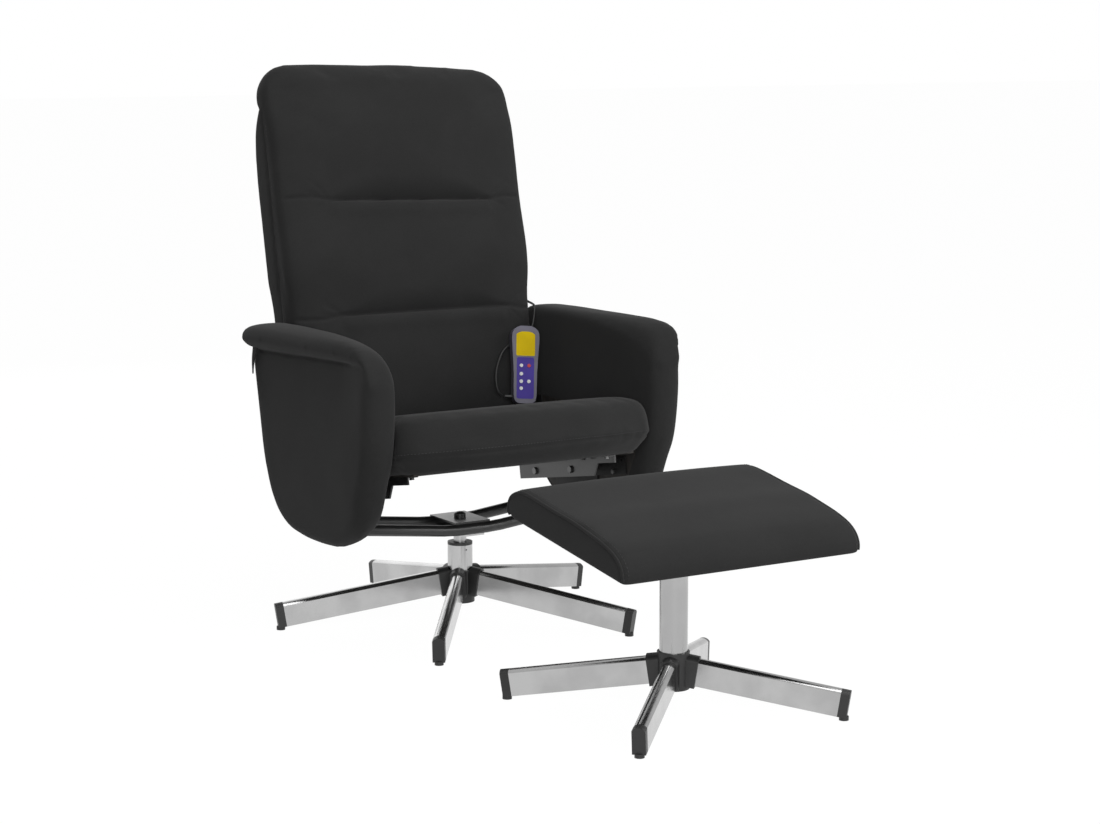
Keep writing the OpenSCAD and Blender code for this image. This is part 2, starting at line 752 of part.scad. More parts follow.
function arm_ring(s, z) = let (n = lookup(s, nose_shares), c = arm_mid_t / 2)
    [for (q = arm_section(s, z)) [arm_in + mix(c, q[0], n), s * arm_len - arm_front, q[1]]];

function turned_over(ring) = [for (i = [len(ring) - 1:-1:0]) ring[i]];

module arm_board_outline() {
    polygon([for (q = arm_board_shares) [q[0] * arm_len - arm_front, q[1] * arm_h + arm_low_z]]);
}

module arm_board(side) {
    color("burlywood") sided(side) difference() {
        placed() side_plate(arm_in, arm_board_t) arm_board_outline();
        at_flange_screws() screw_hole(flange_t + rail_t + screw_depth);
        at_rail_screws() screw_hole(rail_t + screw_depth);
    }
}

module arm_pad(side) {
    color("#2b2b2d") placed() sided(side) difference() {
        skin([for (q = arm_low_shares) arm_ring(q[0], q[1] * arm_h + arm_low_z)]);
        side_plate(arm_in - cut, arm_board_t + cut + fit_gap)
            offset(delta = fit_gap) arm_board_outline();
    }
}

module arm_board_left() {
    arm_board(-1);
}

module arm_board_right() {
    arm_board(1);
}

module arm_pad_left() {
    arm_pad(-1);
}

module arm_pad_right() {
    arm_pad(1);
}

// Seat

seat_bow_y = seat_bow_r - seat_front;
seat_bow_angle = asin((seat_half_w - seat_corner) / (seat_bow_r - seat_corner));
seat_corner_y = seat_bow_y - (seat_bow_r - seat_corner) * cos(seat_bow_angle);

function on_circle(centre, r, a) = [centre[0] + r * cos(a), centre[1] + r * sin(a)];

// Plan of the seat: its right half from the middle of the front to the middle of the rear, then the left half
seat_half_plan = let (x = seat_half_w, rc = seat_rear_corner) concat(
    [for (k = [0:4]) on_circle([0, seat_bow_y], seat_bow_r, seat_bow_angle * k / 4 - 90)],
    [for (k = [1:5]) on_circle([x - seat_corner, seat_corner_y], seat_corner,
        mix(seat_bow_angle - 90, 0, k / 5))],
    [for (k = [1:4]) [x, mix(seat_corner_y, seat_rear - rc, k / 5)]],
    [for (k = [0:3]) on_circle([x - rc, seat_rear - rc], rc, 30 * k)],
    [for (k = [1:3]) [mix(x - rc, 0, k / 3), seat_rear]]);
seat_plan = concat(seat_half_plan, [for (i = [len(seat_half_plan) - 2:-1:1]) [-seat_half_plan[i][0], seat_half_plan[i][1]]]);

function seat_ring(inset, z) = let (
    sx = 1 - inset / seat_half_w,
    sy = 1 - 2 * inset / (seat_front + seat_rear))
    [for (q = seat_plan) [sx * q[0], mix(seat_mid_y, q[1], sy), z]];
function seat_crown_ring(s) = let (flat = 1 - seat_ring_shares[14][0] * seat_t / seat_half_w)
    seat_ring(seat_half_w * (1 - s * flat), seat_t + seat_crown * (1 - s * s));

module seat_board_shape(g) {
    x = seat_half_w - board_inset + g;
    y = seat_front - board_front_inset;
    translate([-x, -y - g, 0]) cube([2 * x, y + seat_rear - board_inset / 2 + 2 * g, seat_board_t + g]);
}

module seat_cushion() {
    color("#2c2c2e") on_seat() difference() {
        skin(concat([for (q = seat_ring_shares) seat_ring(q[0] * seat_t, q[1] * seat_t)],
            [for (s = seat_top_shares) seat_crown_ring(s)]));
        seat_board_shape(fit_gap);
        translate([0, 0, -cut]) seat_board_shape(fit_gap);
    }
}

module seat_board() {
    color("burlywood") difference() {
        on_seat() seat_board_shape(0);
        at_seat_screws() screw_hole(bracket_t + screw_depth);
    }
}

module at_seat_screws() {
    for (side = [-1, 1], y = seat_screw_ys)
        on_seat() translate([side * (bracket_x - bracket_flange / 2), y, -bracket_t]) children();
}

module seat_bracket(side) {
    color("#333335") difference() {
        on_seat() sided(side) {
            side_plate(bracket_x, bracket_t) polygon([[-bracket_front, 0], [-bracket_front, -bracket_toe],
                [bracket_step - bracket_front, -bracket_toe], [bracket_step + bracket_toe - bracket_front, bracket_low],
                [bracket_rear, bracket_low], [bracket_rear, bracket_rear_top], [bracket_rise_y, bracket_rear_top],
                [bracket_rise_y, 0]]);
            translate([bracket_x + bracket_t - bracket_flange, -bracket_front, -bracket_t])
                cube([bracket_flange, bracket_front + seat_rear, bracket_t]);
        }
        on_seat() sided(side) {
            for (y = [glide_front_y, glide_rear_y])
                translate([0, y, glide_z]) bar_x(bracket_x - cut, bracket_t + 2 * cut, glide_bolt_r + fit_gap);
            translate([0, hinge_y, hinge_z]) bar_x(bracket_x - cut, bracket_t + 2 * cut, hinge_bolt_r + fit_gap);
        }
        at_seat_screws() screw_hole(bracket_t);
    }
}

module seat_bracket_left() {
    seat_bracket(-1);
}

module seat_bracket_right() {
    seat_bracket(1);
}

module seat_screws() {
    color("#3a3a3c") at_seat_screws() screw(bracket_t + screw_depth);
}

// Shoulder bolts, fixed in the seat brackets, that slide in the slots of the side rails
module glide_bolts() {
    shoulder_x = bracket_x + bracket_t;
    color("#77777a") on_seat() for (side = [-1, 1], y = [glide_front_y, glide_rear_y])
        sided(side) translate([0, y, glide_z]) {
            bar_x(bracket_x - screw_head_h, screw_head_h, glide_bolt_r + bracket_t, 6);
            bar_x(bracket_x - cut, arm_in - soft_gap - bracket_x + cut, glide_bolt_r);
            bar_x(shoulder_x, rail_x - soft_gap - shoulder_x, glide_bolt_r + rail_t);
        }
}

// Bolts of the back's hinge: head inside the bracket, lock nut outside the lug
module hinge_bolts() {
    nut_x = lug_x + lug_t + soft_gap;
    color("#77777a") on_seat() for (side = [-1, 1]) sided(side) translate([0, hinge_y, hinge_z]) {
        bar_x(bracket_x - screw_head_h, screw_head_h, hinge_bolt_r + bracket_t, 6);
        bar_x(bracket_x - cut, nut_x - bracket_x + 2 * cut, hinge_bolt_r);
        bar_x(nut_x, screw_head_h, hinge_bolt_r + bracket_t, 6);
    }
}

// Back

module back_board() {
    waist = shell_inner_x - board_margin;
    color("burlywood") difference() {
        on_back() translate([0, board_w0 + back_board_t, 0]) rotate([90, 0, 0]) linear_extrude(back_board_t)
            polygon([[-board_waist_x, board_low], [board_waist_x, board_low], [board_waist_x, board_waist],
                [waist, board_waist], [waist, board_top], [-waist, board_top], [-waist, board_waist],
                [-board_waist_x, board_waist]]);
        at_lug_screws() screw_hole(bracket_t + screw_depth);
    }
}

shell_inner_x = back_half_w - shell_wall;
board_rear_w = board_w0 + back_board_t;

module at_lug_screws() {
    for (side = [-1, 1], v = lug_screw_vs)
        on_back() translate([side * (lug_x - lug_flange / 2), board_rear_w + bracket_t, v])
            rotate([90, 0, 0]) children();
}

// Lug of the back: a plate with the hinge bore and the guide pin, and a flange behind the board
module back_bracket(side) {
    color("#333335") difference() {
        on_back() sided(side) {
            side_plate(lug_x, lug_t) polygon([[lug_front, lug_low], [-lug_front, lug_low],
                [board_rear_w + bracket_t, lug_flange_low], [board_rear_w + bracket_t, lug_flange_high],
                [board_rear_w, lug_flange_high], [lug_flange_low, lug_high], [lug_front, lug_high]]);
            translate([lug_x + lug_t - lug_flange, board_rear_w, lug_flange_low])
                cube([lug_flange, bracket_t, lug_flange_high - lug_flange_low]);
            translate([0, 0, guide_up]) bar_x(lug_x + cut, arm_in - fit_gap - soft_gap - lug_x - cut, guide_pin_r);
        }
        on_back() sided(side) bar_x(lug_x - cut, lug_t + 2 * cut, hinge_bolt_r + run_gap, turned);
        at_lug_screws() screw_hole(bracket_t);
    }
}

module back_bracket_left() {
    back_bracket(-1);
}

module back_bracket_right() {
    back_bracket(1);
}

module back_screws() {
    color("#3a3a3c") at_lug_screws() screw(bracket_t + screw_depth);
}

// Plan of the rear cover at one height: a U round the board, grown inwards by g, in [X, Y, Z]
function shell_ring(g, d, v) = let (
    x = back_half_w - g,
    y = board_w0 + d - g,
    c = min(shell_corner - g, (y - board_w0) * 0.8)) concat(
    [[-x, board_w0 - (g > 0 ? cut : 0), v], [0, board_w0 - (g > 0 ? cut : 0), v], [x, board_w0 - (g > 0 ? cut : 0), v]],
    [for (k = [0:4]) let (q = on_circle([x - c, y - c], c, 22.5 * k)) [q[0], q[1], v]],
    [[0, y, v]],
    [for (k = [4:-1:0]) let (q = on_circle([x - c, y - c], c, 22.5 * k)) [-q[0], q[1], v]]);

module back_shell() {
    tall = shell_top - shell_low;
    color("#262628") on_back() difference() {
        skin([for (q = shell_depth_shares) shell_ring(0, q[1] * shell_depth, shell_low + q[0] * tall)]);
        skin([for (q = shell_depth_shares)
            shell_ring(shell_wall, q[1] * shell_depth, mix(shell_low + shell_wall, shell_top - shell_wall, q[0]))]);
        inlet_bore(inlet_r + inlet_wall + fit_gap);
        translate([-lug_x - lug_t - fit_gap, board_w0 - cut, shell_low - cut])
            cube([2 * (lug_x + lug_t + fit_gap), cut + back_board_t + bracket_t + fit_gap, shell_wall + 2 * cut]);
        translate([0, gland_w, gland_v]) bar_x(shell_inner_x - cut, shell_wall + 2 * cut, gland_r / 2 + fit_gap);
    }
}

// Line of the power inlet, from the control box out through the bottom of the rear cover
module inlet_bore(r) {
    translate([inlet_x, board_rear_w + box_t / 2, shell_low - cut])
        cylinder(r = r, h = box_v - shell_low + cut, $fn = turned);
}

// Section of a back pad between two heights, with the middle's crown in the share c
function pad_section(x, low, high, c, round) = concat(
    [[x, pad_rear, low], [x, pad_rear, high]],
    [for (q = pad_shares) [x, pad_edge_front - pad_crown * (mix(q[2], q[1], c) - round), mix(low, high, q[0])]]);

function crown_at(s) = pow(1 - pow(s, 4), 0.6);

function pad_rings(low, high) = [for (side = [-1, 1], i = side < 0 ? [0:7] : [7:-1:0]) let (s = pad_side_shares[i])
    pad_section(side * s * back_half_w, low, high, crown_at(s), pad_round_shares[i])];

module pad_pocket(v) {
    for (side = [-1, 1]) translate([side * motor_x, pad_rear + cut, v]) rotate([90, 0, 0])
        cylinder(r = motor_r + soft_gap, h = cut + motor_h, $fn = turned);
}

module lumbar_pad() {
    color("#2b2b2d") on_back() difference() {
        skin(pad_rings(pad_low, fold_low - soft_gap));
        pad_pocket(motor_vs[0]);
        for (side = [-1, 1]) sided(side) translate([notch_x, -shell_depth * 2, pad_low - cut])
            cube([back_half_w, shell_depth * 4, notch_top - pad_low + cut]);
    }
}

module middle_pad() {
    color("#2b2b2d") on_back() difference() {
        skin(pad_rings(fold_low, fold_high - soft_gap));
        pad_pocket(motor_vs[1]);
    }
}

function head_section(x, c, round) = [for (i = [len(head_shares) - 1:-1:0]) let (q = head_shares[i],
    depth = head_depth * mix(q[2], q[0], c))
    [x, min(pad_rear, depth) == depth ? min(pad_rear, depth + pad_crown * round / 2) : depth,
        mix(fold_high, back_top, mix(q[3], q[1], c))]];

module head_pad() {
    color("#2b2b2d") on_back() skin([for (side = [-1, 1], i = side < 0 ? [0:7] : [7:-1:0])
        let (s = pad_side_shares[i]) head_section(side * s * back_half_w, crown_at(s), pad_round_shares[i])]);
}

module massage_motors() {
    color("#4b4b4b") on_back() for (side = [-1, 1], v = motor_vs)
        translate([side * motor_x, board_w0, v]) rotate([90, 0, 0]) cylinder(r = motor_r, h = motor_h, $fn = turned);
}

module control_box() {
    color("#1c1c1c") on_back() translate([-box_w / 2, board_rear_w, box_v]) cube([box_w, box_t, box_h]);
}

module power_inlet() {
    color("#0e0e0e") on_back() difference() {
        intersection() {
            inlet_bore(inlet_r + inlet_wall);
            translate([-box_w / 2, board_rear_w, shell_low]) cube([box_w, box_t, box_v - shell_low]);
        }
        translate([inlet_x, board_rear_w + box_t / 2, shell_low - cut])
            cylinder(r = inlet_r, h = inlet_len + cut, $fn = turned);
    }
}

module cord_gland() {
    color("#101010") on_back() translate([0, gland_w, gland_v]) {
        bar_x(back_half_w, gland_len, gland_r);
        bar_x(shell_inner_x, shell_wall + cut, gland_r / 2);
    }
}

// Hand control

module on_remote() {
    on_seat() translate([remote_x, remote_y, remote_rest]) rotate([seat_tilt, 0, 0]) rotate([0, 0, -remote_yaw])
        rotate([-remote_lean, 0, 0]) rotate([0, remote_roll, 0]) children();
}

// Front outline of the hand control, drawn smaller by g
module remote_outline(g) {
    half = concat([for (q = remote_shares) [q[1] * remote_foot_w / 2, q[0] * remote_l]],
        [for (q = remote_head_shares) [q[1] * remote_w / 2, q[0] * remote_l]]);
    offset(delta = -g) polygon(concat(half, [for (i = [len(half) - 1:-1:0]) [-half[i][0], half[i][1]]]));
}

// The outline as a block from y0 to y1 behind the front face
module remote_block(g, y0, y1) {
    translate([0, y1, 0]) rotate([90, 0, 0]) linear_extrude(y1 - y0) remote_outline(g);
}

module panel(w, h, v, g) {
    translate([0, panel_t + g, 0]) rotate([90, 0, 0]) linear_extrude(panel_t + 2 * g)
        translate([panel_corner - w / 2, v + panel_corner]) offset(r = panel_corner + g, $fn = small)
            square([w - 2 * panel_corner, h - 2 * panel_corner]);
}

module at_key(index) {
    translate([key_shares[index - 1][0] * label_w, 0, key_shares[index - 1][1] * remote_l]) children();
}

module key_bore() {
    translate([0, remote_wall + cut, 0]) rotate([90, 0, 0])
        cylinder(r = key_r + key_gap, h = remote_wall + 2 * cut, $fn = turned);
}

module remote_front() {
    color("#4c4c58") on_remote() difference() {
        remote_block(0, 0, remote_split);
        remote_block(remote_wall, remote_wall, remote_split + cut);
        panel(window_w, window_h, window_v, panel_gap);
        panel(label_w, label_h, label_v, panel_gap);
        for (i = [1:6]) at_key(i) key_bore();
    }
}

module remote_rear() {
    color("#44444e") on_remote() {
        difference() {
            remote_block(0, remote_split, remote_t);
            remote_block(remote_wall, remote_split - cut, remote_t - remote_wall);
            translate([0, relief_y, relief_v]) rotate([0, -90, 0])
                cylinder(r = relief_r + fit_gap, h = remote_w, $fn = turned);
        }
        for (v = [board_v + 2 * post_r, board_v + board_l - 2 * post_r])
            translate([0, remote_t - cut, v]) rotate([90, 0, 0])
                cylinder(r = post_r, h = remote_t - cut - board_y - board_t, $fn = small);
    }
}

module remote_window() {
    color("#b59c12") on_remote() panel(window_w, window_h, window_v, 0);
}

module remote_label() {
    color("#3a2f86") on_remote() difference() {
        panel(label_w, label_h, label_v, 0);
        for (i = [1:6]) at_key(i) key_bore();
    }
}

module remote_board() {
    color("darkgreen") on_remote() translate([-board_w / 2, board_y, board_v]) cube([board_w, board_t, board_l]);
}

module key(index) {
    lip_y = remote_wall + 2 * panel_gap;
    color(index == 2 ? "#b3202a" : "#e8e8ea") on_remote() at_key(index) rotate([90, 0, 0]) {
        translate([0, 0, -lip_y - cut / 2]) cylinder(r = key_r, h = lip_y + cut / 2 + key_proud, $fn = turned);
        translate([0, 0, -lip_y - key_lip_t]) cylinder(r = key_r + key_lip, h = key_lip_t, $fn = turned);
        translate([0, 0, -lip_y - key_lip_t - key_stem]) cylinder(r = key_r / 2, h = key_stem + cut / 2, $fn = small);
    }
}

module key_1() {
    key(1);
}

module key_2() {
    key(2);
}

module key_3() {
    key(3);
}

module key_4() {
    key(4);
}

module key_5() {
    key(5);
}

module key_6() {
    key(6);
}

// Rubber sleeve that leads the cord out of the lower left side
module remote_relief() {
    inner = remote_foot_w / 2 - 2 * remote_wall;
    outer = remote_foot_w / 2 + relief_l;
    color("#111111") on_remote() translate([0, relief_y, relief_v]) rotate([0, -90, 0]) difference() {
        union() {
            translate([0, 0, inner]) cylinder(r = relief_r, h = remote_foot_w / 2 + cut - inner, $fn = turned);
            translate([0, 0, remote_foot_w / 2]) cylinder(r1 = relief_r, r2 = relief_tip_r, h = relief_l, $fn = turned);
        }
        translate([0, 0, inner - cut]) cylinder(r = relief_tip_r - fit_gap * 2, h = outer - inner + 2 * cut, $fn = turned);
    }
}

function unit(v) = v / norm(v);

// Tube of radius r along a route: rings stand square to the path and keep their twist
module tube_along(path, r, sides) {
    last = len(path) - 1;
    up = [0, 0.3, 1];
    rings = [for (i = [0:last])
        let (t = unit(path[min(i + 1, last)] - path[max(i - 1, 0)]), a = unit(cross(up, t)), b = cross(t, a))
        [for (k = [0:sides - 1]) path[i] + r * (a * cos(360 * k / sides) + b * sin(360 * k / sides))]];
    skin(rings);
}

module remote_cord() {
    color("#0d0d0d") placed() tube_along(spline(cord_route, cord_steps), cord_r, cord_sides);
}

// Footstool

module stool_hub() {
    stool_placed() star_hub(stool_angles, stool_reach);
}

module stool_arms() {
    stool_placed() for (a = stool_angles) star_arm(a, stool_reach);
}

module stool_end_caps() {
    stool_placed() for (a = stool_angles) star_cap(a, stool_reach);
}

// Lays a piece in the sloping plane of the stool cushion: Y to the rear along the slope, Z square to it
module on_stool() {
    stool_placed() translate([0, 0, stool_z]) rotate([stool_slope, 0, 0]) children();
}

module stool_column() {
    color("silver") difference() {
        stool_placed() translate([0, 0, cup_z]) difference() {
            cylinder(r = column_r, h = stool_z - cup_z + column_r, $fn = turned);
            translate([0, 0, -cut]) cylinder(r = column_r - column_wall, h = stool_z + column_r, $fn = turned);
        }
        on_stool() translate([-stool_plate_w, -stool_plate_w, -stool_plate_t])
            cube([2 * stool_plate_w, 2 * stool_plate_w, stool_plate_w]);
    }
}

module at_stool_screws() {
    for (x = [-1, 1], y = [-1, 1])
        on_stool() translate([x * stool_screw_x, y * stool_screw_y, -stool_plate_t]) children();
}

module stool_top_plate() {
    color("#1d1d1d") difference() {
        on_stool() translate([-stool_plate_w / 2, -stool_plate_d / 2, -stool_plate_t])
            cube([stool_plate_w, stool_plate_d, stool_plate_t]);
        at_stool_screws() screw_hole(stool_plate_t);
    }
}

module stool_screws() {
    color("#3a3a3c") at_stool_screws() screw(stool_plate_t + screw_depth);
}

module stool_board_shape(g) {
    translate([-stool_board_x - g, -stool_board_front - g, 0])
        cube([2 * (stool_board_x + g), stool_board_front + stool_board_rear + 2 * g, stool_board_t + g]);
}

module stool_board() {
    color("burlywood") difference() {
        on_stool() stool_board_shape(0);
        at_stool_screws() screw_hole(stool_plate_t + screw_depth);
    }
}

// Section of the cushion at a share s of its half width, drawn smaller by the scale k
function stool_section(s, side, k) = [for (q = stool_shares) let (
    y = stool_rear - stool_d * mix(0.5, q[0], k),
    z = q[1] * (stool_t + stool_crown * (1 - s * s)))
    [side * s * stool_w / 2, y, mix(z, stool_t / 2, (1 - k) * (z > 0 ? 1 : 0))]];

module stool_cushion() {
    color("#2c2c2e") on_stool() difference() {
        skin([for (side = [-1, 1], i = side < 0 ? [0:6] : [6:-1:0])
            stool_section(stool_side_shares[i][0], side, stool_side_shares[i][1])]);
        stool_board_shape(fit_gap);
        translate([0, 0, -cut]) stool_board_shape(fit_gap);
    }
}

base_hub();
base_arms();
base_end_caps();
column_tube();
column_bush();
spindle_cup();
swivel_spindle();
clamp_plate();
dome_nut();
cross_tube_front();
cross_tube_rear();
frame_screws();
side_rail_left();
side_rail_right();
arm_board_left();
arm_board_right();
arm_pad_left();
arm_pad_right();
seat_cushion();
seat_board();
seat_bracket_left();
seat_bracket_right();
seat_screws();
glide_bolts();
hinge_bolts();
back_board();
back_bracket_left();
back_bracket_right();
back_screws();
back_shell();
lumbar_pad();
middle_pad();
head_pad();
massage_motors();
control_box();
power_inlet();
cord_gland();
remote_front();
remote_rear();
remote_window();
remote_label();
remote_board();
remote_relief();
remote_cord();
key_1();
key_2();
key_3();
key_4();
key_5();
key_6();
stool_hub();
stool_arms();
stool_end_caps();
stool_column();
stool_top_plate();
stool_screws();
stool_board();
stool_cushion();
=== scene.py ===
"""Swivel massage recliner with rolled arms, a wired hand control and a footstool.

The CAD model gives the sizes, the metalwork and the moving bodies. This script adds the
upholstery, the cord, the seams and the finishes, and sets up the light and the camera.
Lengths in the tables are millimetres.
"""
import json
import math

import bpy
import numpy as np
from mathutils import Matrix, Vector
from mathutils.bvhtree import BVHTree


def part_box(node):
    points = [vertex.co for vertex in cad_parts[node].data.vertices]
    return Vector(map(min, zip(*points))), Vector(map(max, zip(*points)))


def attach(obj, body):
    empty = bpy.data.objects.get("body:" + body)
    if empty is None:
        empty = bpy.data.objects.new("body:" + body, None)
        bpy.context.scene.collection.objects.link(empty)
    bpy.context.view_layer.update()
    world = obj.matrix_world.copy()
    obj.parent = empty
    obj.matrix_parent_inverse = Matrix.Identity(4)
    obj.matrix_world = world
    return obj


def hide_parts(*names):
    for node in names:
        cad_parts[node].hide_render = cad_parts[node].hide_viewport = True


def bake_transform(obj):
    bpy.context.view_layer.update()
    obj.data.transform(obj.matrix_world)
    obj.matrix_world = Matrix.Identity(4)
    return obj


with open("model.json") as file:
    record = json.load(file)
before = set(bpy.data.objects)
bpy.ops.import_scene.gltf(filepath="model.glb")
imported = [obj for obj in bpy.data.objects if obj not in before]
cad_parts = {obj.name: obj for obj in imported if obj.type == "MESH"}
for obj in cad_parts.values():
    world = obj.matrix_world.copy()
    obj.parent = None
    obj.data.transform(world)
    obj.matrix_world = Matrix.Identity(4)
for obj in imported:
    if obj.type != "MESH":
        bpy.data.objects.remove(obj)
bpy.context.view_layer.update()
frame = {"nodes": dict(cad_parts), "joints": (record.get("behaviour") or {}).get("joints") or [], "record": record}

MM = 0.001

JOINTS = {joint["name"]: joint for joint in frame["joints"]}
TILT = math.asin(JOINTS["seat_glide"]["axis"][2])
HINGE = Vector(JOINTS["back_recline"]["pos_m"])


def middle(node):
    """Middle of a CAD node's box."""
    low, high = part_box(node)
    return (low + high) / 2


CHAIR_Y = middle("column_tube").y
STOOL_XY = middle("stool_column").xy
SEAT_Z = 289.0
STOOL_Z = 297.0
STOOL_SLOPE = math.radians(8.4)

# Each frame takes points in millimetres to metres in the model's own frame.
SCALE = Matrix.Scale(MM, 4)
SEAT = Matrix.Translation((0, CHAIR_Y, SEAT_Z * MM)) @ Matrix.Rotation(-TILT, 4, "X") @ SCALE
BACK = Matrix.Translation(HINGE) @ Matrix.Rotation(-TILT, 4, "X") @ SCALE
CHAIR = Matrix.Translation((0, CHAIR_Y, 0)) @ SCALE
STOOL = (Matrix.Translation((STOOL_XY.x, STOOL_XY.y, STOOL_Z * MM))
         @ Matrix.Rotation(STOOL_SLOPE, 4, "X") @ SCALE)


# Camera

CAMERA_PLACE = Vector((-2.2758, -4.0007 + CHAIR_Y, 1.1172))
CAMERA_TURN = (math.radians(81.065), 0, math.radians(-31.73))
LENS, SENSOR = 82.13, 36.0


def make_camera():
    data = bpy.data.cameras.new("camera")
    data.lens, data.sensor_width = LENS, SENSOR
    camera = bpy.data.objects.new("camera", data)
    camera.location, camera.rotation_euler = CAMERA_PLACE, CAMERA_TURN
    bpy.context.scene.collection.objects.link(camera)
    bpy.context.scene.camera = camera


make_camera()


# Curves and meshes

def smooth_table(table):
    """A smooth function through the points of a table of (place, value)."""
    xs = np.array([row[0] for row in table], float)
    ys = np.array([row[1] for row in table], float)
    slopes = np.gradient(ys, xs)

    def value(x):
        x = min(max(x, xs[0]), xs[-1])
        i = min(int(np.searchsorted(xs, x, side="right")) - 1, len(xs) - 2)
        h = xs[i + 1] - xs[i]
        t = (x - xs[i]) / h
        return float((2 * t**3 - 3 * t**2 + 1) * ys[i] + (t**3 - 2 * t**2 + t) * h * slopes[i]
                     + (3 * t**2 - 2 * t**3) * ys[i + 1] + (t**3 - t**2) * h * slopes[i + 1])
    return value


def mix(a, b, t):
    return a + (b - a) * t


def step_up(low, high, x):
    t = min(max((x - low) / (high - low), 0), 1)
    return t * t * (3 - 2 * t)


def spline(points, steps, closed=False):
    """Catmull-Rom curve through given points, with some steps between neighbours."""
    p = [Vector(q) for q in points]
    count = len(p) if closed else len(p) - 1
    out = []
    for i in range(count):
        if closed:
            a, b, c, d = p[i - 1], p[i], p[(i + 1) % len(p)], p[(i + 2) % len(p)]
        else:
            a, b, c, d = p[max(i - 1, 0)], p[i], p[i + 1], p[min(i + 2, len(p) - 1)]
        for k in range(steps):
            s = k / steps
            out.append(0.5 * (2 * b + (c - a) * s + (2 * a - 5 * b + 4 * c - d) * s * s
                              + (3 * b - a - 3 * c + d) * s**3))
    if not closed:
        out.append(p[-1])
    return out


def make_piece(name, points, faces, smooth=True):
    mesh = bpy.data.meshes.new(name)
    mesh.from_pydata([tuple(p) for p in points], [], faces)
    mesh.polygons.foreach_set("use_smooth", [smooth] * len(mesh.polygons))
    mesh.update()
    piece = bpy.data.objects.new(name, mesh)
    bpy.context.scene.collection.objects.link(piece)
    return piece


def loft(name, rings, place=Matrix.Identity(4)):
    """Closed skin over rings of equal counts, anticlockwise as seen from the last ring."""
    n, m = len(rings[0]), len(rings)
    points = [place @ Vector(p) for ring in rings for p in ring]
    for ring in (rings[0], rings[-1]):
        points.append(place @ (sum((Vector(p) for p in ring), Vector()) / n))
    faces = [(j * n + i, j * n + (i + 1) % n, (j + 1) * n + (i + 1) % n, (j + 1) * n + i)
             for j in range(m - 1) for i in range(n)]
    faces += [(m * n, (i + 1) % n, i) for i in range(n)]
    faces += [(m * n + 1, (m - 1) * n + i, (m - 1) * n + (i + 1) % n) for i in range(n)]
    return make_piece(name, points, faces)


def tube(name, path, radius, sides):
    """A closed tube along a path in metres."""
    rings, up = [], Vector((0, 0.3, 1))
    for i, p in enumerate(path):
        along = (path[min(i + 1, len(path) - 1)] - path[max(i - 1, 0)]).normalized()
        across = up.cross(along).normalized()
        up = along.cross(across)
        turns = (2 * math.pi * k / sides for k in range(sides))
        rings.append([p + radius * (across * math.cos(a) + up * math.sin(a)) for a in turns])
    return loft(name, rings)


def evaluated_mesh(piece):
    depsgraph = bpy.context.evaluated_depsgraph_get()
    return bpy.data.meshes.new_from_object(piece.evaluated_get(depsgraph), depsgraph=depsgraph)


def bake_modifiers(piece):
    mesh = evaluated_mesh(piece)
    piece.modifiers.clear()
    old, piece.data = piece.data, mesh
    bpy.data.meshes.remove(old)
    mesh.polygons.foreach_set("use_smooth", [True] * len(mesh.polygons))


def remesh(piece, voxel, smooth, place=Matrix.Identity(4)):
    """Even quads over a closed piece, in rows square to place, ready to be blown up as cloth."""
    turn = place.to_quaternion().to_matrix().to_4x4()
    piece.data.transform(turn.inverted())
    modifier = piece.modifiers.new("even", "REMESH")
    modifier.mode, modifier.voxel_size, modifier.adaptivity = "VOXEL", voxel * MM, 0
    settle = piece.modifiers.new("settle", "SMOOTH")
    settle.factor, settle.iterations = 0.5, smooth
    bake_modifiers(piece)
    piece.data.transform(turn)


def coordinates(mesh):
    co = np.empty(len(mesh.vertices) * 3)
    mesh.vertices.foreach_get("co", co)
    return co.reshape(-1, 3)


def set_coordinates(mesh, co):
    mesh.vertices.foreach_set("co", co.reshape(-1))
    mesh.update()


PUFF_FRAMES = 20


def puff(pieces):
    """Blows the padded pieces up as cloth, all together. Each entry is (piece, held, pressure, cap):
    held(point) says how firmly the board or a seam holds the cover there, 0 to 1, and cap is
    the furthest that the cover may rise."""
    scene = bpy.context.scene
    rest = {}
    for piece, held, pressure, _ in pieces:
        rest[piece.name] = coordinates(piece.data)
        group = piece.vertex_groups.new(name="held")
        for i, p in enumerate(rest[piece.name]):
            group.add([i], held(p), "REPLACE")
        cloth = piece.modifiers.new("cloth", "CLOTH")
        settings = cloth.settings
        settings.quality, settings.mass = 5, 0.3
        settings.tension_stiffness = settings.compression_stiffness = 20
        settings.shear_stiffness, settings.bending_stiffness = 8, 4
        settings.vertex_group_mass, settings.pin_stiffness = "held", 1
        settings.use_pressure, settings.uniform_pressure_force = True, pressure
        settings.effector_weights.gravity = 0
        cloth.collision_settings.use_collision = False
        cloth.point_cache.frame_start, cloth.point_cache.frame_end = 1, PUFF_FRAMES
    scene.frame_start, scene.frame_end = 1, PUFF_FRAMES
    for number in range(1, PUFF_FRAMES + 1):
        scene.frame_set(number)
    blown = {piece.name: coordinates(evaluated_mesh(piece)) for piece, *_ in pieces}
    for piece, _, _, cap in pieces:
        piece.modifiers.clear()
        piece.vertex_groups.clear()
        shift = blown[piece.name] - rest[piece.name]
        length = np.linalg.norm(shift, axis=1, keepdims=True)
        limit, least = cap * MM, 1e-9
        shift *= np.where(length > least, limit * np.tanh(length / limit) / np.maximum(length, least), 0)
        set_coordinates(piece.data, rest[piece.name] + shift)
    scene.frame_set(1)


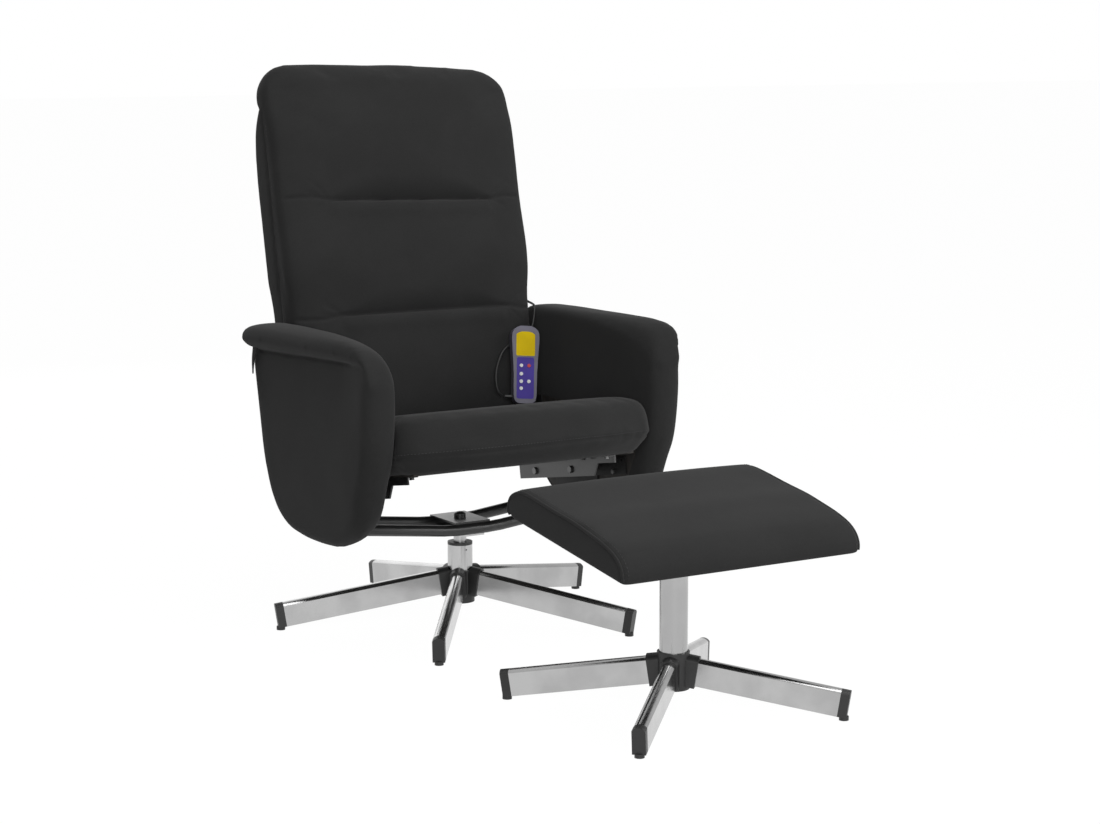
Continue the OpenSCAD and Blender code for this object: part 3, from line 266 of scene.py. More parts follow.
def refine(piece):
    """Eases the small bumps of a blown cover and rounds it."""
    ease = piece.modifiers.new("ease", "SMOOTH")
    ease.factor, ease.iterations = 0.5, 4
    modifier = piece.modifiers.new("refine", "SUBSURF")
    modifier.levels = modifier.render_levels = 1
    bake_modifiers(piece)


def carve(piece, place, depth):
    """Moves each point of a piece by depth(point) in millimetres of the given frame."""
    back_to_frame = place.inverted()
    turn = place.to_3x3()
    for vertex in piece.data.vertices:
        move = depth(back_to_frame @ vertex.co)
        if move is not None:
            vertex.co += turn @ Vector(move)
    piece.data.update()


# Finishes

class Value:
    """A socket that Python's operators work on."""

    def __init__(self, finish, socket):
        self.finish, self.socket = finish, socket

    def _math(self, operation, other, swap=False):
        a, b = (other, self) if swap else (self, other)
        return self.finish.node("ShaderNodeMath", {"operation": operation}, [a, b])

    def __add__(self, other):
        return self._math("ADD", other)

    __radd__ = __add__

    def __mul__(self, other):
        return self._math("MULTIPLY", other)

    __rmul__ = __mul__

    def __sub__(self, other):
        return self._math("SUBTRACT", other)

    def __rsub__(self, other):
        return self._math("SUBTRACT", other, swap=True)

    def above(self, low, high):
        """0 below low, 1 above high, smooth between."""
        settings = {"interpolation_type": "SMOOTHSTEP"}
        return self.finish.node("ShaderNodeMapRange", settings, [self, low, high, 0.0, 1.0])


class Finish:
    """A material under construction."""

    def __init__(self, name, **fixed):
        self.material = bpy.data.materials.new(name)
        self.material.use_nodes = True
        self.tree = self.material.node_tree
        self.shader = self.tree.nodes["Principled BSDF"]
        for socket, value in fixed.items():
            self.shader.inputs[socket.replace("_", " ")].default_value = value

    def node(self, kind, settings=None, inputs=(), output=0):
        node = self.tree.nodes.new(kind)
        for name, value in (settings or {}).items():
            setattr(node, name, value)
        pairs = inputs.items() if isinstance(inputs, dict) else enumerate(inputs)
        for key, value in pairs:
            if isinstance(value, Value):
                self.tree.links.new(value.socket, node.inputs[key])
            elif value is not None:
                node.inputs[key].default_value = value
        return Value(self, node.outputs[output])

    def place(self, scale=(1, 1, 1), turn=(0, 0, 0)):
        where = self.node("ShaderNodeTexCoord", output="Object")
        return self.node("ShaderNodeMapping", {}, {"Vector": where, "Scale": scale, "Rotation": turn})

    def noise(self, scale, detail=2, roughness=0.5, place=None):
        return self.node("ShaderNodeTexNoise", {}, {"Vector": place or self.place(), "Scale": scale,
                                                    "Detail": detail, "Roughness": roughness})

    def blend(self, share, a, b):
        return self.node("ShaderNodeMix", {"data_type": "RGBA"}, {0: share, 6: a, 7: b}, output=2)

    def bump(self, height, strength, distance):
        inputs = {"Height": height, "Strength": strength, "Distance": distance * MM}
        self.set("Normal", self.node("ShaderNodeBump", {}, inputs))

    def set(self, socket, value):
        self.tree.links.new(value.socket, self.shader.inputs[socket])


def grey(level):
    return (level, level, level, 1)


def upholstery():
    """Soft matt charcoal cover: close weave, faint mottling and a soft sheen."""
    f = Finish("upholstery", Roughness=0.9, Sheen_Weight=0.05, Sheen_Roughness=0.5, Specular_IOR_Level=0.22)
    cloudy = f.noise(9, 3)
    fine = f.noise(420, 2)
    tone = cloudy.above(0.3, 0.7) * 0.25 + fine * 0.75
    f.set("Base Color", f.blend(tone, grey(0.0125), grey(0.0255)))
    f.set("Roughness", 0.82 + fine * 0.15)
    warp, weft = [
        f.node("ShaderNodeTexWave", {"wave_type": "BANDS", "bands_direction": way},
               {"Vector": f.place(turn=(0.3, 0.2, 0.6)), "Scale": 330.0, "Distortion": 1.5, "Detail": 1.0})
        for way in ("X", "Z")]
    f.bump(warp * 0.35 + weft * 0.35 + fine * 0.6 + f.noise(60, 3) * 0.8, 0.35, 0.5)
    return f.material


def polished_steel():
    """Polished steel tube with faint drawing lines and a few dull patches."""
    f = Finish("polished_steel", Metallic=1.0)
    lines = f.noise(40, 3, place=f.place(scale=(1, 1, 30)))
    dull = f.noise(12, 3)
    f.set("Base Color", f.blend(dull.above(0.35, 0.65), grey(0.42), grey(0.50)))
    f.set("Roughness", 0.17 + dull * 0.05)
    f.bump(lines + f.noise(900, 1) * 0.2, 0.06, 0.4)
    return f.material


def plain_finish(name, low, high, roughness, grain, bump, **fixed):
    """Moulded or painted surface: fine grain, slight change of tone, a little wear in its gloss."""
    f = Finish(name, **fixed)
    patches = f.noise(25, 3)
    f.set("Base Color", f.blend(patches.above(0.3, 0.7), low, high))
    f.set("Roughness", roughness + patches * 0.14)
    f.bump(f.noise(grain, 2), bump, 0.3)
    return f.material


def plywood():
    """Birch plywood coloured near black, with its grain just showing: the near-black tone is painted shade for the
    underside of the seat.
    """
    f = Finish("plywood", Roughness=0.7)
    rings = f.node("ShaderNodeTexWave", {"wave_type": "BANDS", "bands_direction": "Y"},
                   {"Vector": f.place(), "Scale": 14.0, "Distortion": 6.0, "Detail": 3.0})
    # near-black colours: painted shade under the seat
    f.set("Base Color", f.blend(rings, (0.011, 0.010, 0.009, 1), (0.020, 0.017, 0.014, 1)))
    f.bump(rings + f.noise(300, 2), 0.2, 0.3)
    return f.material


FINISHES = {
    "upholstery": upholstery(),
    "satin_steel": polished_steel(),
    "bearing_steel": plain_finish("bearing_steel", grey(0.42), grey(0.55), 0.25, 600, 0.08, Metallic=1.0),
    "black_plastic": plain_finish("black_plastic", grey(0.010), grey(0.016), 0.38, 900, 0.12),
    "black_steel": plain_finish("black_steel", grey(0.010), grey(0.017), 0.28, 700, 0.10, Coat_Weight=0.15),
    "grey_steel": plain_finish("grey_steel", grey(0.009), grey(0.015), 0.45, 700, 0.10,
                               Specular_IOR_Level=0.2),
    "zinc_screws": plain_finish("zinc_screws", grey(0.10), grey(0.15), 0.3, 500, 0.06, Metallic=1.0),
    "thread": plain_finish("thread", grey(0.016), grey(0.030), 0.6, 900, 0.10),
    "plywood": plywood(),
    "motor_case": plain_finish("motor_case", grey(0.2), grey(0.26), 0.4, 500, 0.08, Metallic=0.7),
    "dark_plastic": plain_finish("dark_plastic", grey(0.008), grey(0.013), 0.42, 1200, 0.10),
    "remote_grey": plain_finish("remote_grey", (0.10, 0.095, 0.13, 1), (0.125, 0.12, 0.16, 1),
                                0.4, 1500, 0.10),
    "panel_yellow": plain_finish("panel_yellow", (0.66, 0.47, 0.001, 1), (0.74, 0.53, 0.002, 1),
                                 0.4, 900, 0.03, Specular_IOR_Level=0.1),
    "panel_violet": plain_finish("panel_violet", (0.052, 0.030, 0.27, 1), (0.062, 0.038, 0.31, 1),
                                 0.35, 1200, 0.04, Specular_IOR_Level=0.2),
    "circuit_board": plain_finish("circuit_board", (0.015, 0.10, 0.03, 1), (0.02, 0.13, 0.04, 1),
                                  0.4, 800, 0.05),
    "key_white": plain_finish("key_white", grey(0.72), grey(0.78), 0.35, 900, 0.04),
    "key_red": plain_finish("key_red", (0.45, 0.015, 0.02, 1), (0.52, 0.02, 0.025, 1), 0.35, 900, 0.04),
}


def dress_cad_nodes():
    for row in frame["record"]["subparts"]:
        node = frame["nodes"][row["node"]]
        node.data.materials.clear()
        node.data.materials.append(FINISHES[row["material_slot"]])


def finish_piece(piece, slot, body, *nodes):
    """Gives a piece its finish, the body that it rides on (or None) and the CAD nodes that it stands for."""
    piece.data.materials.clear()
    piece.data.materials.append(FINISHES[slot])
    if body:
        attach(piece, body)
    if nodes:
        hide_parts(*nodes)


dress_cad_nodes()


# Hand control

WINDOW_ARCH, WINDOW_CORNER, WINDOW_EDGE = 6.0 * MM, 2.0 * MM, 0.2 * MM


def make_window():
    """The hand control's printed window, its top arched like the shell's head."""
    solid = coordinates(frame["nodes"]["remote_window"].data)
    middle_point = solid.mean(0)
    _, axes = np.linalg.eigh(np.cov((solid - middle_point).T))
    up = axes[:, 2] * np.sign(axes[2, 2])
    out = axes[:, 0] * -np.sign(axes[1, 0])
    right = np.cross(up, out)
    local = (solid - middle_point) @ np.array([right, up, out]).T
    (half, high, front), (_, low, rear) = local.max(0), local.min(0)
    foot = WINDOW_CORNER
    outline = [(half * k, high - WINDOW_ARCH * abs(k)**3.2) for k in np.linspace(1, -1, 33)]
    outline += [(-half, low + foot), (-half + foot * 0.3, low + foot * 0.3), (-half + foot, low)]
    outline += [(half - foot, low), (half - foot * 0.3, low + foot * 0.3), (half, low + foot)]
    rings = [[middle_point + right * r * k + up * (low + (u - low) * k) + out * depth for r, u in outline]
             for k, depth in ((1, rear), (1, front - WINDOW_EDGE), (0.985, front))]
    window = loft("remote_window_print", rings)
    window.data.polygons.foreach_set("use_smooth", [False] * len(window.data.polygons))
    finish_piece(window, "panel_yellow", "seat", "remote_window")


make_window()


# Cord of the hand control

CORD_RADIUS = 2.25
CORD_ROUTE = [
    (154, 105.3, 399.9), (148, 106, 406.5), (145, 109, 419), (146, 113, 438), (153, 118, 458),
    (168, 126, 479), (189, 135, 491), (212, 142, 498), (234, 146, 506), (248, 149, 520), (254, 151, 537),
    (258, 155, 551), (263, 164, 561), (266, 178, 564), (267, 194, 566), (268, 210, 570), (267, 222, 575),
    (264, 229, 577)]


def make_cord():
    path = spline([CHAIR @ Vector(p) for p in CORD_ROUTE], 8)
    cord = tube("remote_lead", path, CORD_RADIUS * MM, 12)
    finish_piece(cord, "dark_plastic", None, "remote_cord")
    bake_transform(cord)
    length = sum((b - a).length for a, b in zip(path, path[1:]))


make_cord()


# Seat cushion

SEAT_HALF, SEAT_FRONT, SEAT_REAR = 254, 328, 106
SEAT_BOW, SEAT_CORNER, SEAT_REAR_CORNER = 560, 54, 16
# Side of the seat from below: (inset at the sides, inset at the front, height)
SEAT_SIDE = [
    (60, 60, 0.5), (36, 40, 0.6), (22, 26, 2.5), (12, 14, 8), (5, 6, 17), (1.5, 2, 26), (0.5, 0.5, 33),
    (0, 0, 44), (0, 0.3, 57), (0.2, 1.2, 69), (1.2, 3.2, 79), (3.5, 7, 88), (8, 13, 95), (16, 24, 99.3),
    (30, 42, 101.8), (55, 72, 103), (98, 120, 103.6), (155, 170, 104), (215, 215, 104.2)]
SEAT_FLARE = 0.055
# Stretches along Y over which the front's inset, the flare and the lifted underside set in
FRONT_INSET_FROM, FLARE_FROM, LIFT_FROM = (-190, -290), (-216, -262), (-150, -300)
FRONT_LIFT, CORNER_LIFT = 6, 16
# Seam round the seat: its height, half width and depth, and the depth of the puckers beside it
SEAM_Z, SEAM_WIDTH, SEAM_DEEP, SEAM_PUCKER = 33, 3.2, 2.6, 0.5


def seat_plan():
    """The seat's outline: its right half from the middle of the front, then the mirror image."""
    bow_y = SEAT_BOW - SEAT_FRONT
    swing = math.asin((SEAT_HALF - SEAT_CORNER) / (SEAT_BOW - SEAT_CORNER))
    corner = (SEAT_HALF - SEAT_CORNER, bow_y - (SEAT_BOW - SEAT_CORNER) * math.cos(swing))
    half = [(SEAT_BOW * math.sin(a), bow_y - SEAT_BOW * math.cos(a)) for a in np.linspace(0, swing, 14)]
    half += [(corner[0] + SEAT_CORNER * math.sin(a), corner[1] - SEAT_CORNER * math.cos(a))
             for a in np.linspace(swing, math.pi / 2, 10)[1:]]
    side_end = SEAT_REAR - SEAT_REAR_CORNER
    half += [(SEAT_HALF, y) for y in np.linspace(corner[1], side_end, 20)[1:]]
    half += [(SEAT_HALF - SEAT_REAR_CORNER * (1 - math.cos(a)), side_end + SEAT_REAR_CORNER * math.sin(a))
             for a in np.linspace(0, math.pi / 2, 5)[1:]]
    half += [(x, SEAT_REAR) for x in np.linspace(SEAT_HALF - SEAT_REAR_CORNER, 0, 16)[1:]]
    return half + [(-x, y) for x, y in half[-2:0:-1]]


def seat_groove(p):
    """The sewn seam round the front and sides, and small puckers under it."""
    if p.z > 70 or p.z < 4 or p.y > SEAT_REAR - 12:
        return None
    across = (p.z - SEAM_Z - 2 * math.sin(p.x / 70)) / SEAM_WIDTH
    pucker = SEAM_PUCKER * math.exp(-(across / 4)**2) * math.sin(p.x / 9 + p.y / 7)
    depth = SEAM_DEEP * math.exp(-across * across) + pucker
    outward = Vector((p.x / SEAT_HALF, min(p.y + 120, 0) / 210, 0))
    if outward.length < 0.3:
        return None
    return -depth * outward.normalized()


def seat_ring(side_inset, front_inset, z):
    """The seat's outline drawn in by the insets, at height z. Its underside rises at the front corners."""
    middle_y, half_y = (SEAT_REAR - SEAT_FRONT) / 2, (SEAT_REAR + SEAT_FRONT) / 2
    ring = []
    for x, y in seat_plan():
        inset = mix(side_inset, front_inset, step_up(*FRONT_INSET_FROM, y))
        flare = 1 + SEAT_FLARE * step_up(*FLARE_FROM, y)
        px = x * flare * (1 - min(inset / SEAT_HALF, 0.96))
        py = middle_y + (y - middle_y) * (1 - min(inset / half_y, 0.96))
        front = step_up(*LIFT_FROM, py)
        corner = step_up(120, 250, abs(px)) * front
        lift = step_up(30, 8, inset) * max(0, 1 - z / 40) * (FRONT_LIFT * front + CORNER_LIFT * corner)
        ring.append((px, py, z + lift))
    return ring


def make_seat():
    seat = loft("seat_cushion_cover", [seat_ring(*row) for row in SEAT_SIDE], SEAT)
    remesh(seat, 6, 4)
    inverse = SEAT.inverted()

    def held(p):
        q = inverse @ Vector(p)
        if q.z < 12:
            return 1.0
        return max(0.75 * math.exp(-((q.z - SEAM_Z) / 7)**2), 0.25 if q.y > SEAT_REAR - 20 else 0.0)
    return seat, held


# Back cushion

BACK_HALF, BACK_FLARE, BACK_CORNER = 257.5, 5.5, 58
BACK_LOW, BACK_REAR = 26, 34
# Front of the back: (height, depth at the sides), then (height, how far the middle stands out)
SIDE_FRONT = smooth_table([
    (0, -8), (200, -8.5), (274, -10), (391, -15), (431, -11), (471, -7), (570, -4), (628, 0), (655, 7),
    (690, 15), (697, 17)])
MIDDLE_CROWN = smooth_table([
    (0, 14), (60, 20), (145, 24), (240, 22), (265, 21), (380, 22), (470, 18), (560, 19), (640, 17),
    (697, 15)])
# Roll along the top of the back: (angle round its centre, radius), at the middle and at the sides
ROLL_OUT_MIDDLE = smooth_table([
    (-70, 24), (-45, 28), (-20, 33), (8, 35.5), (36, 39), (64, 43), (86, 44), (110, 41), (150, 35),
    (180, 34)])
ROLL_OUT_SIDE = smooth_table([
    (-70, 8), (-45, 11), (-20, 14), (8, 17), (36, 20), (64, 22), (86, 21), (110, 17), (150, 10), (180, 6.5)])
ROLL_CENTRE_MIDDLE, ROLL_CENTRE_SIDE = Vector((38, 699)), Vector((28, 664))
ROLL_IN, ROLL_END = 6.0, -70


def crown_at(share):
    """How much of the middle's fullness the back has at a share of its half width."""
    return (1 - min(abs(share), 1)**4)**0.6


def corner_at(share):
    """1 along the top of the back, falling as a quarter circle to 0 at its sides."""
    beyond = max(0, abs(share) * BACK_HALF - (BACK_HALF - BACK_CORNER)) / BACK_CORNER
    return math.sqrt(max(0, 1 - beyond * beyond))


def top_rise(u):
    """How much the top edge of the back rises at its middle, a little more on the left."""
    return 9.5 * (1 - (u / 200)**2) - 0.032 * u


def back_half_at(v):
    """Half width of the back: slightly wider above the arms."""
    return BACK_HALF + BACK_FLARE * step_up(280, 345, v)


def back_section(share):
    """Outline of the back at a share of its half width: up the front, over the top, down its rear."""
    c, top = crown_at(share), corner_at(share)
    centre = ROLL_CENTRE_SIDE.lerp(ROLL_CENTRE_MIDDLE + Vector((0, top_rise(share * BACK_HALF))), top)
    edge = 9 * max(0, (abs(share) - 0.97) / 0.03)**2
    chain = []
    for v in np.linspace(BACK_LOW, centre.y, 60):
        low_round = 12 * max(0, 1 - (v - BACK_LOW) / 20)**2
        chain.append((SIDE_FRONT(v) - MIDDLE_CROWN(v) * c + low_round + edge, v))
    end_w = centre.x - mix(ROLL_OUT_SIDE(180), ROLL_OUT_MIDDLE(180), top)
    shift = chain[-1][0] - end_w
    for angle in np.linspace(180, ROLL_END, 26)[1:]:
        r = mix(ROLL_OUT_SIDE(angle), ROLL_OUT_MIDDLE(angle), top) - edge * 0.3
        fade = max(0, (angle - 90) / 90)
        a = math.radians(angle)
        chain.append((centre.x + r * math.cos(a) + shift * fade, centre.y + r * math.sin(a)))
    turns = np.radians(np.linspace(ROLL_END, 150, 8))
    inner = [(centre.x + ROLL_IN * math.cos(a), centre.y + ROLL_IN * math.sin(a) - 8 * top) for a in turns]
    rear = [(BACK_REAR, v) for v in np.linspace(centre.y - 20, BACK_LOW, 60)]
    chain += [(max(w, BACK_REAR if v < ROLL_CENTRE_SIDE.y else w), v) for w, v in inner] + rear
    return [(share * back_half_at(v), w, v) for w, v in reversed(chain)]


# Folds between the pads: height at the middle and its fall per mm to the right, the pinch points, the
# kink beyond them, depth, and reach above and below
FOLDS = [dict(v=481, fall=0.030, left=-160, right=183, rise=5, deep=26, over=50, under=11),
         dict(v=268, fall=0.006, left=-158, right=192, rise=-6, deep=24, over=48, under=11)]
# Lip under a fold, seam line from a pinch point to the side, and creases round the point: (slope, length)
FOLD_LIP, SEAM_LINE, PINCH_DEEP = 3, 3.2, 1.3
PINCH_CREASES = [(0.75, 46), (-0.6, 38), (0.2, 55)]
# Behind the first and below the second, the cover keeps its shape.
FOLDS_REAR, FOLDS_TOP = 16, 690


def fold_line(fold, u):
    """Height of a fold's crease, which kinks at its pinch points."""
    beyond = max(fold["left"] - u, u - fold["right"], 0)
    kink = fold["rise"] * (step_up(0, 40, beyond) - 0.5 * step_up(50, 110, beyond))
    return fold["v"] - fold["fall"] * u + kink


def fold_depth(p):
    """How far the cover is drawn in at a point of the back: deep folds between their pinch points."""
    u, w, v = p
    if w > FOLDS_REAR and v < FOLDS_TOP:
        return None
    total = 0.0
    for fold in FOLDS:
        line = fold_line(fold, u)
        inside = min(u - fold["left"], fold["right"] - u)
        full = step_up(-10, 12, inside)
        wide = step_up(-5, 95, inside)
        t = (v - line) / mix(10, fold["over"], wide) if v > line else (line - v) / fold["under"]
        if t < 1:
            total += mix(0.45, 1, wide) * fold["deep"] * full * (1 - math.sqrt(max(0, 1 - (1 - t)**2)))
        lip = (line - fold["under"] - 6 - v) / 14
        total -= FOLD_LIP * full * math.exp(-lip * lip)
        across = (v - line) / 3.5
        edge = step_up(BACK_HALF, BACK_HALF - 14, abs(u))
        total += (1 - full) * edge * SEAM_LINE * math.exp(-across * across)
        for pinch, way in ((fold["left"], -1), (fold["right"], 1)):
            du, dv = (u - pinch) * way, v - line
            for slope, reach in PINCH_CREASES:
                off = (dv - slope * du) / 4.5
                if 0 < du < reach:
                    total += PINCH_DEEP * math.exp(-off * off) * math.sin(math.pi * du / reach)
    return Vector((0, total, 0))


def make_back():
    shares = [math.sin(a) for a in np.linspace(-math.pi / 2, math.pi / 2, 45)]
    back = loft("back_cushion_cover", [back_section(s) for s in shares], BACK)
    remesh(back, 6.4, 5)
    inverse = BACK.inverted()

    def held(p):
        q = inverse @ Vector(p)
        if q.y > 18 and q.z < 680:
            return 1.0
        firm = 0.35 * step_up(BACK_HALF - 22, BACK_HALF - 4, abs(q.x))
        for fold in FOLDS:
            firm = max(firm, 0.8 * math.exp(-((q.z - fold_line(fold, q.x)) / 9)**2))
        return firm
    return back, held


# Rear cover of the back: (height, depth behind the cushion)
REAR_DEPTH = smooth_table([
    (30, 40), (45, 45), (80, 47), (300, 47), (450, 51), (540, 53), (593, 49), (629, 41), (652, 29),
    (672, 10)])
REAR_FRONT, REAR_BASE, REAR_LOW, REAR_TOP, REAR_CORNER = 20, 26, 30, 672, 15.0
REAR_WIDER = 2


def rear_ring(v):
    """Outline of the rear cover at height v: flat front, then round its two rear corners."""
    depth = REAR_DEPTH(v)
    tuck = 3 * max(0, 1 - (v - REAR_LOW) / 10)
    corner = min(REAR_CORNER, depth * 0.6)
    half = back_half_at(v) + REAR_WIDER - tuck
    centre_x, centre_w = half - corner, REAR_BASE + depth - corner
    ring = [(x, REAR_FRONT, v) for x in np.linspace(-half, half, 24)]
    for a in np.linspace(0, math.pi / 2, 9):
        ring.append((centre_x + corner * math.cos(a), centre_w + corner * math.sin(a), v))
    ring += [(x, REAR_BASE + depth, v) for x in np.linspace(centre_x, -centre_x, 24)[1:-1]]
    for a in np.linspace(math.pi / 2, 0, 9):
        ring.append((-centre_x - corner * math.cos(a), centre_w + corner * math.sin(a), v))
    return ring


def make_rear_cover():
    heights = [REAR_LOW, 31, 34, 40, 50, *np.linspace(65, 600, 36), 615, 630, 643, 654, 663, REAR_TOP]
    rings = [rear_ring(v) for v in heights]
    rear = loft("back_rear_cover", rings, BACK)
    remesh(rear, 6, 4)
    inverse = BACK.inverted()

    def held(p):
        q = inverse @ Vector(p)
        return 1.0 if q.y < 30 else max(0.3, 0.8 * math.exp(-((abs(q.x) - BACK_HALF + 26) / 8)**2))
    return rear, held


# Arms

ARM_IN, ARM_LOW = 262.4, 182
ARM_THICK_LOW, ARM_THICK_MID, ARM_EDGE, ARM_EDGE_ROUND = 51, 65, 18, 19
# Each table of the arms runs along Y, from the front to the rear. Lower edge: (place, height)
ARM_LOW_EDGE = [
    (-256, 446), (-254, 420), (-251, 395), (-242, 350), (-223, 305), (-203, 254), (-166, 217), (-107, 191),
    (-58, 183), (0, 181), (42, 183), (94, 192), (135, 220), (156, 261), (169, 310), (180, 370), (193, 433),
    (203, 478), (211, 510)]
ARM_FRONT_END, ARM_REAR_END = (-256, 487), (214, 545)
# Height of the roll's top, then of the fold under it, thickness at the roll, rounding of its inner edge
ARM_CROWN = smooth_table([
    (-256, 490), (-252, 511), (-247, 528), (-240, 542), (-225, 555), (-205, 562), (-170, 566), (-106, 567),
    (6, 566), (127, 564), (180, 561), (205, 556), (214, 550)])
ARM_CREASE = smooth_table([
    (-256, 480), (-250, 508), (-245, 525), (-236, 531), (-222, 532), (-200, 530), (-117, 527), (-19, 523),
    (82, 518), (135, 516), (177, 514), (205, 518), (214, 526)])
ARM_WING = smooth_table([
    (-257, 61), (-250, 62.5), (-244, 66), (-235, 69), (-222, 71.5), (-205, 74), (-170, 77), (-100, 81),
    (-20, 84), (82, 87), (150, 88), (214, 87.5)])
ARM_ROLL = smooth_table([(-257, 52), (-200, 46), (-120, 32), (-40, 22), (60, 18), (214, 17)])
# The loose corner of cover at the rear, from its root to its tip: half width, place along Y, height
FLAP_ROOT, FLAP_TIP, FLAP_THICK = (13, 180, 520), (1.2, 195, 467), 1.3


def arm_section(y, z):
    """Outline of an arm at one place along Y, with its lower edge at height z: (thickness, height)."""
    top, wing = ARM_CROWN(y), ARM_WING(y)
    crease = min(ARM_CREASE(y), top - 10)
    lip = top - crease
    edge = min(ARM_EDGE, (crease - z) / 3)
    roll = min(ARM_ROLL(y), (top - z - edge) / 2)
    straight = top - 1.2 * roll
    open_nose = step_up(-150, -235, y)
    neck = mix(ARM_THICK_MID - 8, ARM_THICK_MID - 3, open_nose)
    heights = [mix(z + edge, crease, k) for k in (0, 0.3, 0.62)]
    walls = [mix(ARM_THICK_LOW, ARM_THICK_MID, min(1, max(0, (k - ARM_LOW) / 140))) for k in heights]
    return [
        (edge, z), (edge * 0.3, z + edge * 0.3), (0, z + edge), (0, mix(z + edge, straight, 0.5)),
        (0, straight), (roll * 0.12, top - roll * 0.6), (roll * 0.42, top - roll * 0.24),
        (roll, top - roll * 0.05), (mix(roll, wing, 0.5), top - 1), (mix(roll, wing, 0.82), top - lip * 0.13),
        (wing * 0.96, top - lip * 0.31), (wing, top - lip * 0.52), (mix(neck, wing, 0.88), top - lip * 0.68),
        (mix(neck, wing, 0.55), top - lip * 0.87), (mix(neck, wing, 0.14), crease + lip * 0.02),
        (neck, crease - lip * 0.12), (walls[2], heights[2]), (walls[1], heights[1]), (walls[0], heights[0]),
        (walls[0] - edge * 0.3, z + edge * 0.3), (walls[0] - edge, z)]


def edge_roundness(points, outline):
    """For points (y, z) of an arm: 0 on its lower outline, rising as a half round to 1."""
    a, b = outline[:-1, None], outline[1:, None]
    along = b - a
    share = np.clip(((points - a) * along).sum(2) / (along * along).sum(2), 0, 1)[..., None]
    distance = np.linalg.norm(points - a - share * along, axis=2).min(0)
    return np.sqrt(1 - (1 - np.clip(distance / ARM_EDGE_ROUND, 0, 1))**2)


def side_name(name, side):
    return name + ("_left" if side < 0 else "_right")


def make_arm(side):
    """One arm, drawn for +X and mirrored for the other side."""
    edge = [(p.x, p.y) for p in spline([(y, z, 0) for y, z in ARM_LOW_EDGE], 4)]
    outline = np.array([ARM_FRONT_END] + edge + [ARM_REAR_END])
    rings = []
    for y, z in edge:
        section = spline([(t, h, 0) for t, h in arm_section(y, z)], 4, closed=True)
        nose = edge_roundness(np.array([(y, q.y) for q in section]), outline)
        ring = [(side * (ARM_IN + mix(ARM_THICK_MID / 2, q.x, n)), y, q.y) for q, n in zip(section, nose)]
        rings.append(ring if side > 0 else ring[::-1])
    arm = loft(side_name("arm_cover", side), rings, CHAIR)
    remesh(arm, 5, 4)
    inverse = CHAIR.inverted()

    def held(p):
        q = inverse @ Vector(p)
        if abs(q.x) < ARM_IN + 3 and q.z < 470:
            return 1.0
        crease = math.exp(-((q.z - ARM_CREASE(q.y)) / 7)**2) if abs(q.x) > ARM_IN + 40 else 0
        return max(0.3, 0.8 * crease)
    return arm, held


def make_flap(side):
    """The loose corner of an arm's cover, which hangs from under the roll at its rear."""
    rings = []
    for t in np.linspace(0, 1, 14):
        _, y, z = Vector(FLAP_ROOT).lerp(Vector(FLAP_TIP), t)
        half = mix(FLAP_ROOT[0], FLAP_TIP[0], t**0.8)
        x = ARM_IN + ARM_THICK_MID - 0.5 * t + 2 * math.sin(math.pi * t)
        ring = [(side * (x + FLAP_THICK * math.sin(a)), y + half * math.cos(a), z)
                for a in np.linspace(0, 2 * math.pi, 12, endpoint=False)]
        rings.append(ring if side > 0 else ring[::-1])
    finish_piece(loft(side_name("arm_flap", side), rings, CHAIR), "upholstery", "carriage")


def arm_crease(p):
    """The tight fold under the rolled wing, which dies out towards the nose."""
    if abs(p.x) < ARM_IN + 42:
        return None
    line = ARM_CREASE(p.y) - 1
    fade = step_up(-226, -170, p.y) * step_up(212, 196, p.y)
    across = (p.z - line) / 4.2
    return Vector((-math.copysign(4.5, p.x) * fade * math.exp(-across * across), 0, 0))


# Footstool cushion

STOOL_HALF, STOOL_BACK, STOOL_DEEP, STOOL_THICK = 227.5, 154, 352, 59
STOOL_CROWN = 3.5
# Side outline of the cushion from its lower rear corner: (distance from the rear, height)
STOOL_SIDE = [
    (41, 0), (18, 2), (5, 6), (0.5, 13), (0.6, 25), (7.5, 39), (18, 47.5), (32, 54.5), (46, 58.5),
    (77, 59.5), (122, 58.5), (161, 58), (203, 58.5), (243, 56), (283, 52.3), (312, 47.3), (331, 39),
    (343.5, 29.7), (350.5, 16), (352, 2), (340, 0), (300, 0), (220, 0), (140, 0)]
PIPING_RADIUS = 2.6
PIPING_EASE = 6


def stool_outline(scale=1.0, crown=0.0):
    """Side outline of the cushion about its middle: (place, height, how far a crown lifts it)."""
    out = []
    for p in spline([(STOOL_BACK - d, z, 0) for d, z in STOOL_SIDE], 4, closed=True):
        y, z = p.x, max(p.y, 0)
        top = step_up(10, 50, z)
        y = mix(STOOL_BACK - STOOL_DEEP / 2, y, scale)
        out.append((y, mix(STOOL_THICK / 2, z, scale) if z > 1 else z, top * crown))
    return out


def make_stool():
    rings = []
    for share in [math.sin(a) for a in np.linspace(-math.pi / 2, math.pi / 2, 41)]:
        edge = max(0, (abs(share) - 0.985) / 0.015)
        outline = stool_outline(1 - 0.02 * edge**2, STOOL_CROWN * (1 - share**2))
        rings.append([(share * STOOL_HALF, y, z + lift) for y, z, lift in outline])
    stool = loft("stool_cushion_cover", rings, STOOL)
    remesh(stool, 6, 3, STOOL)
    inverse = STOOL.inverted()

    def held(p):
        q = inverse @ Vector(p)
        if q.z < 4:
            return 1.0
        return max(0.3, 0.9 * step_up(STOOL_HALF - 14, STOOL_HALF - 3, abs(q.x)))
    return stool, held


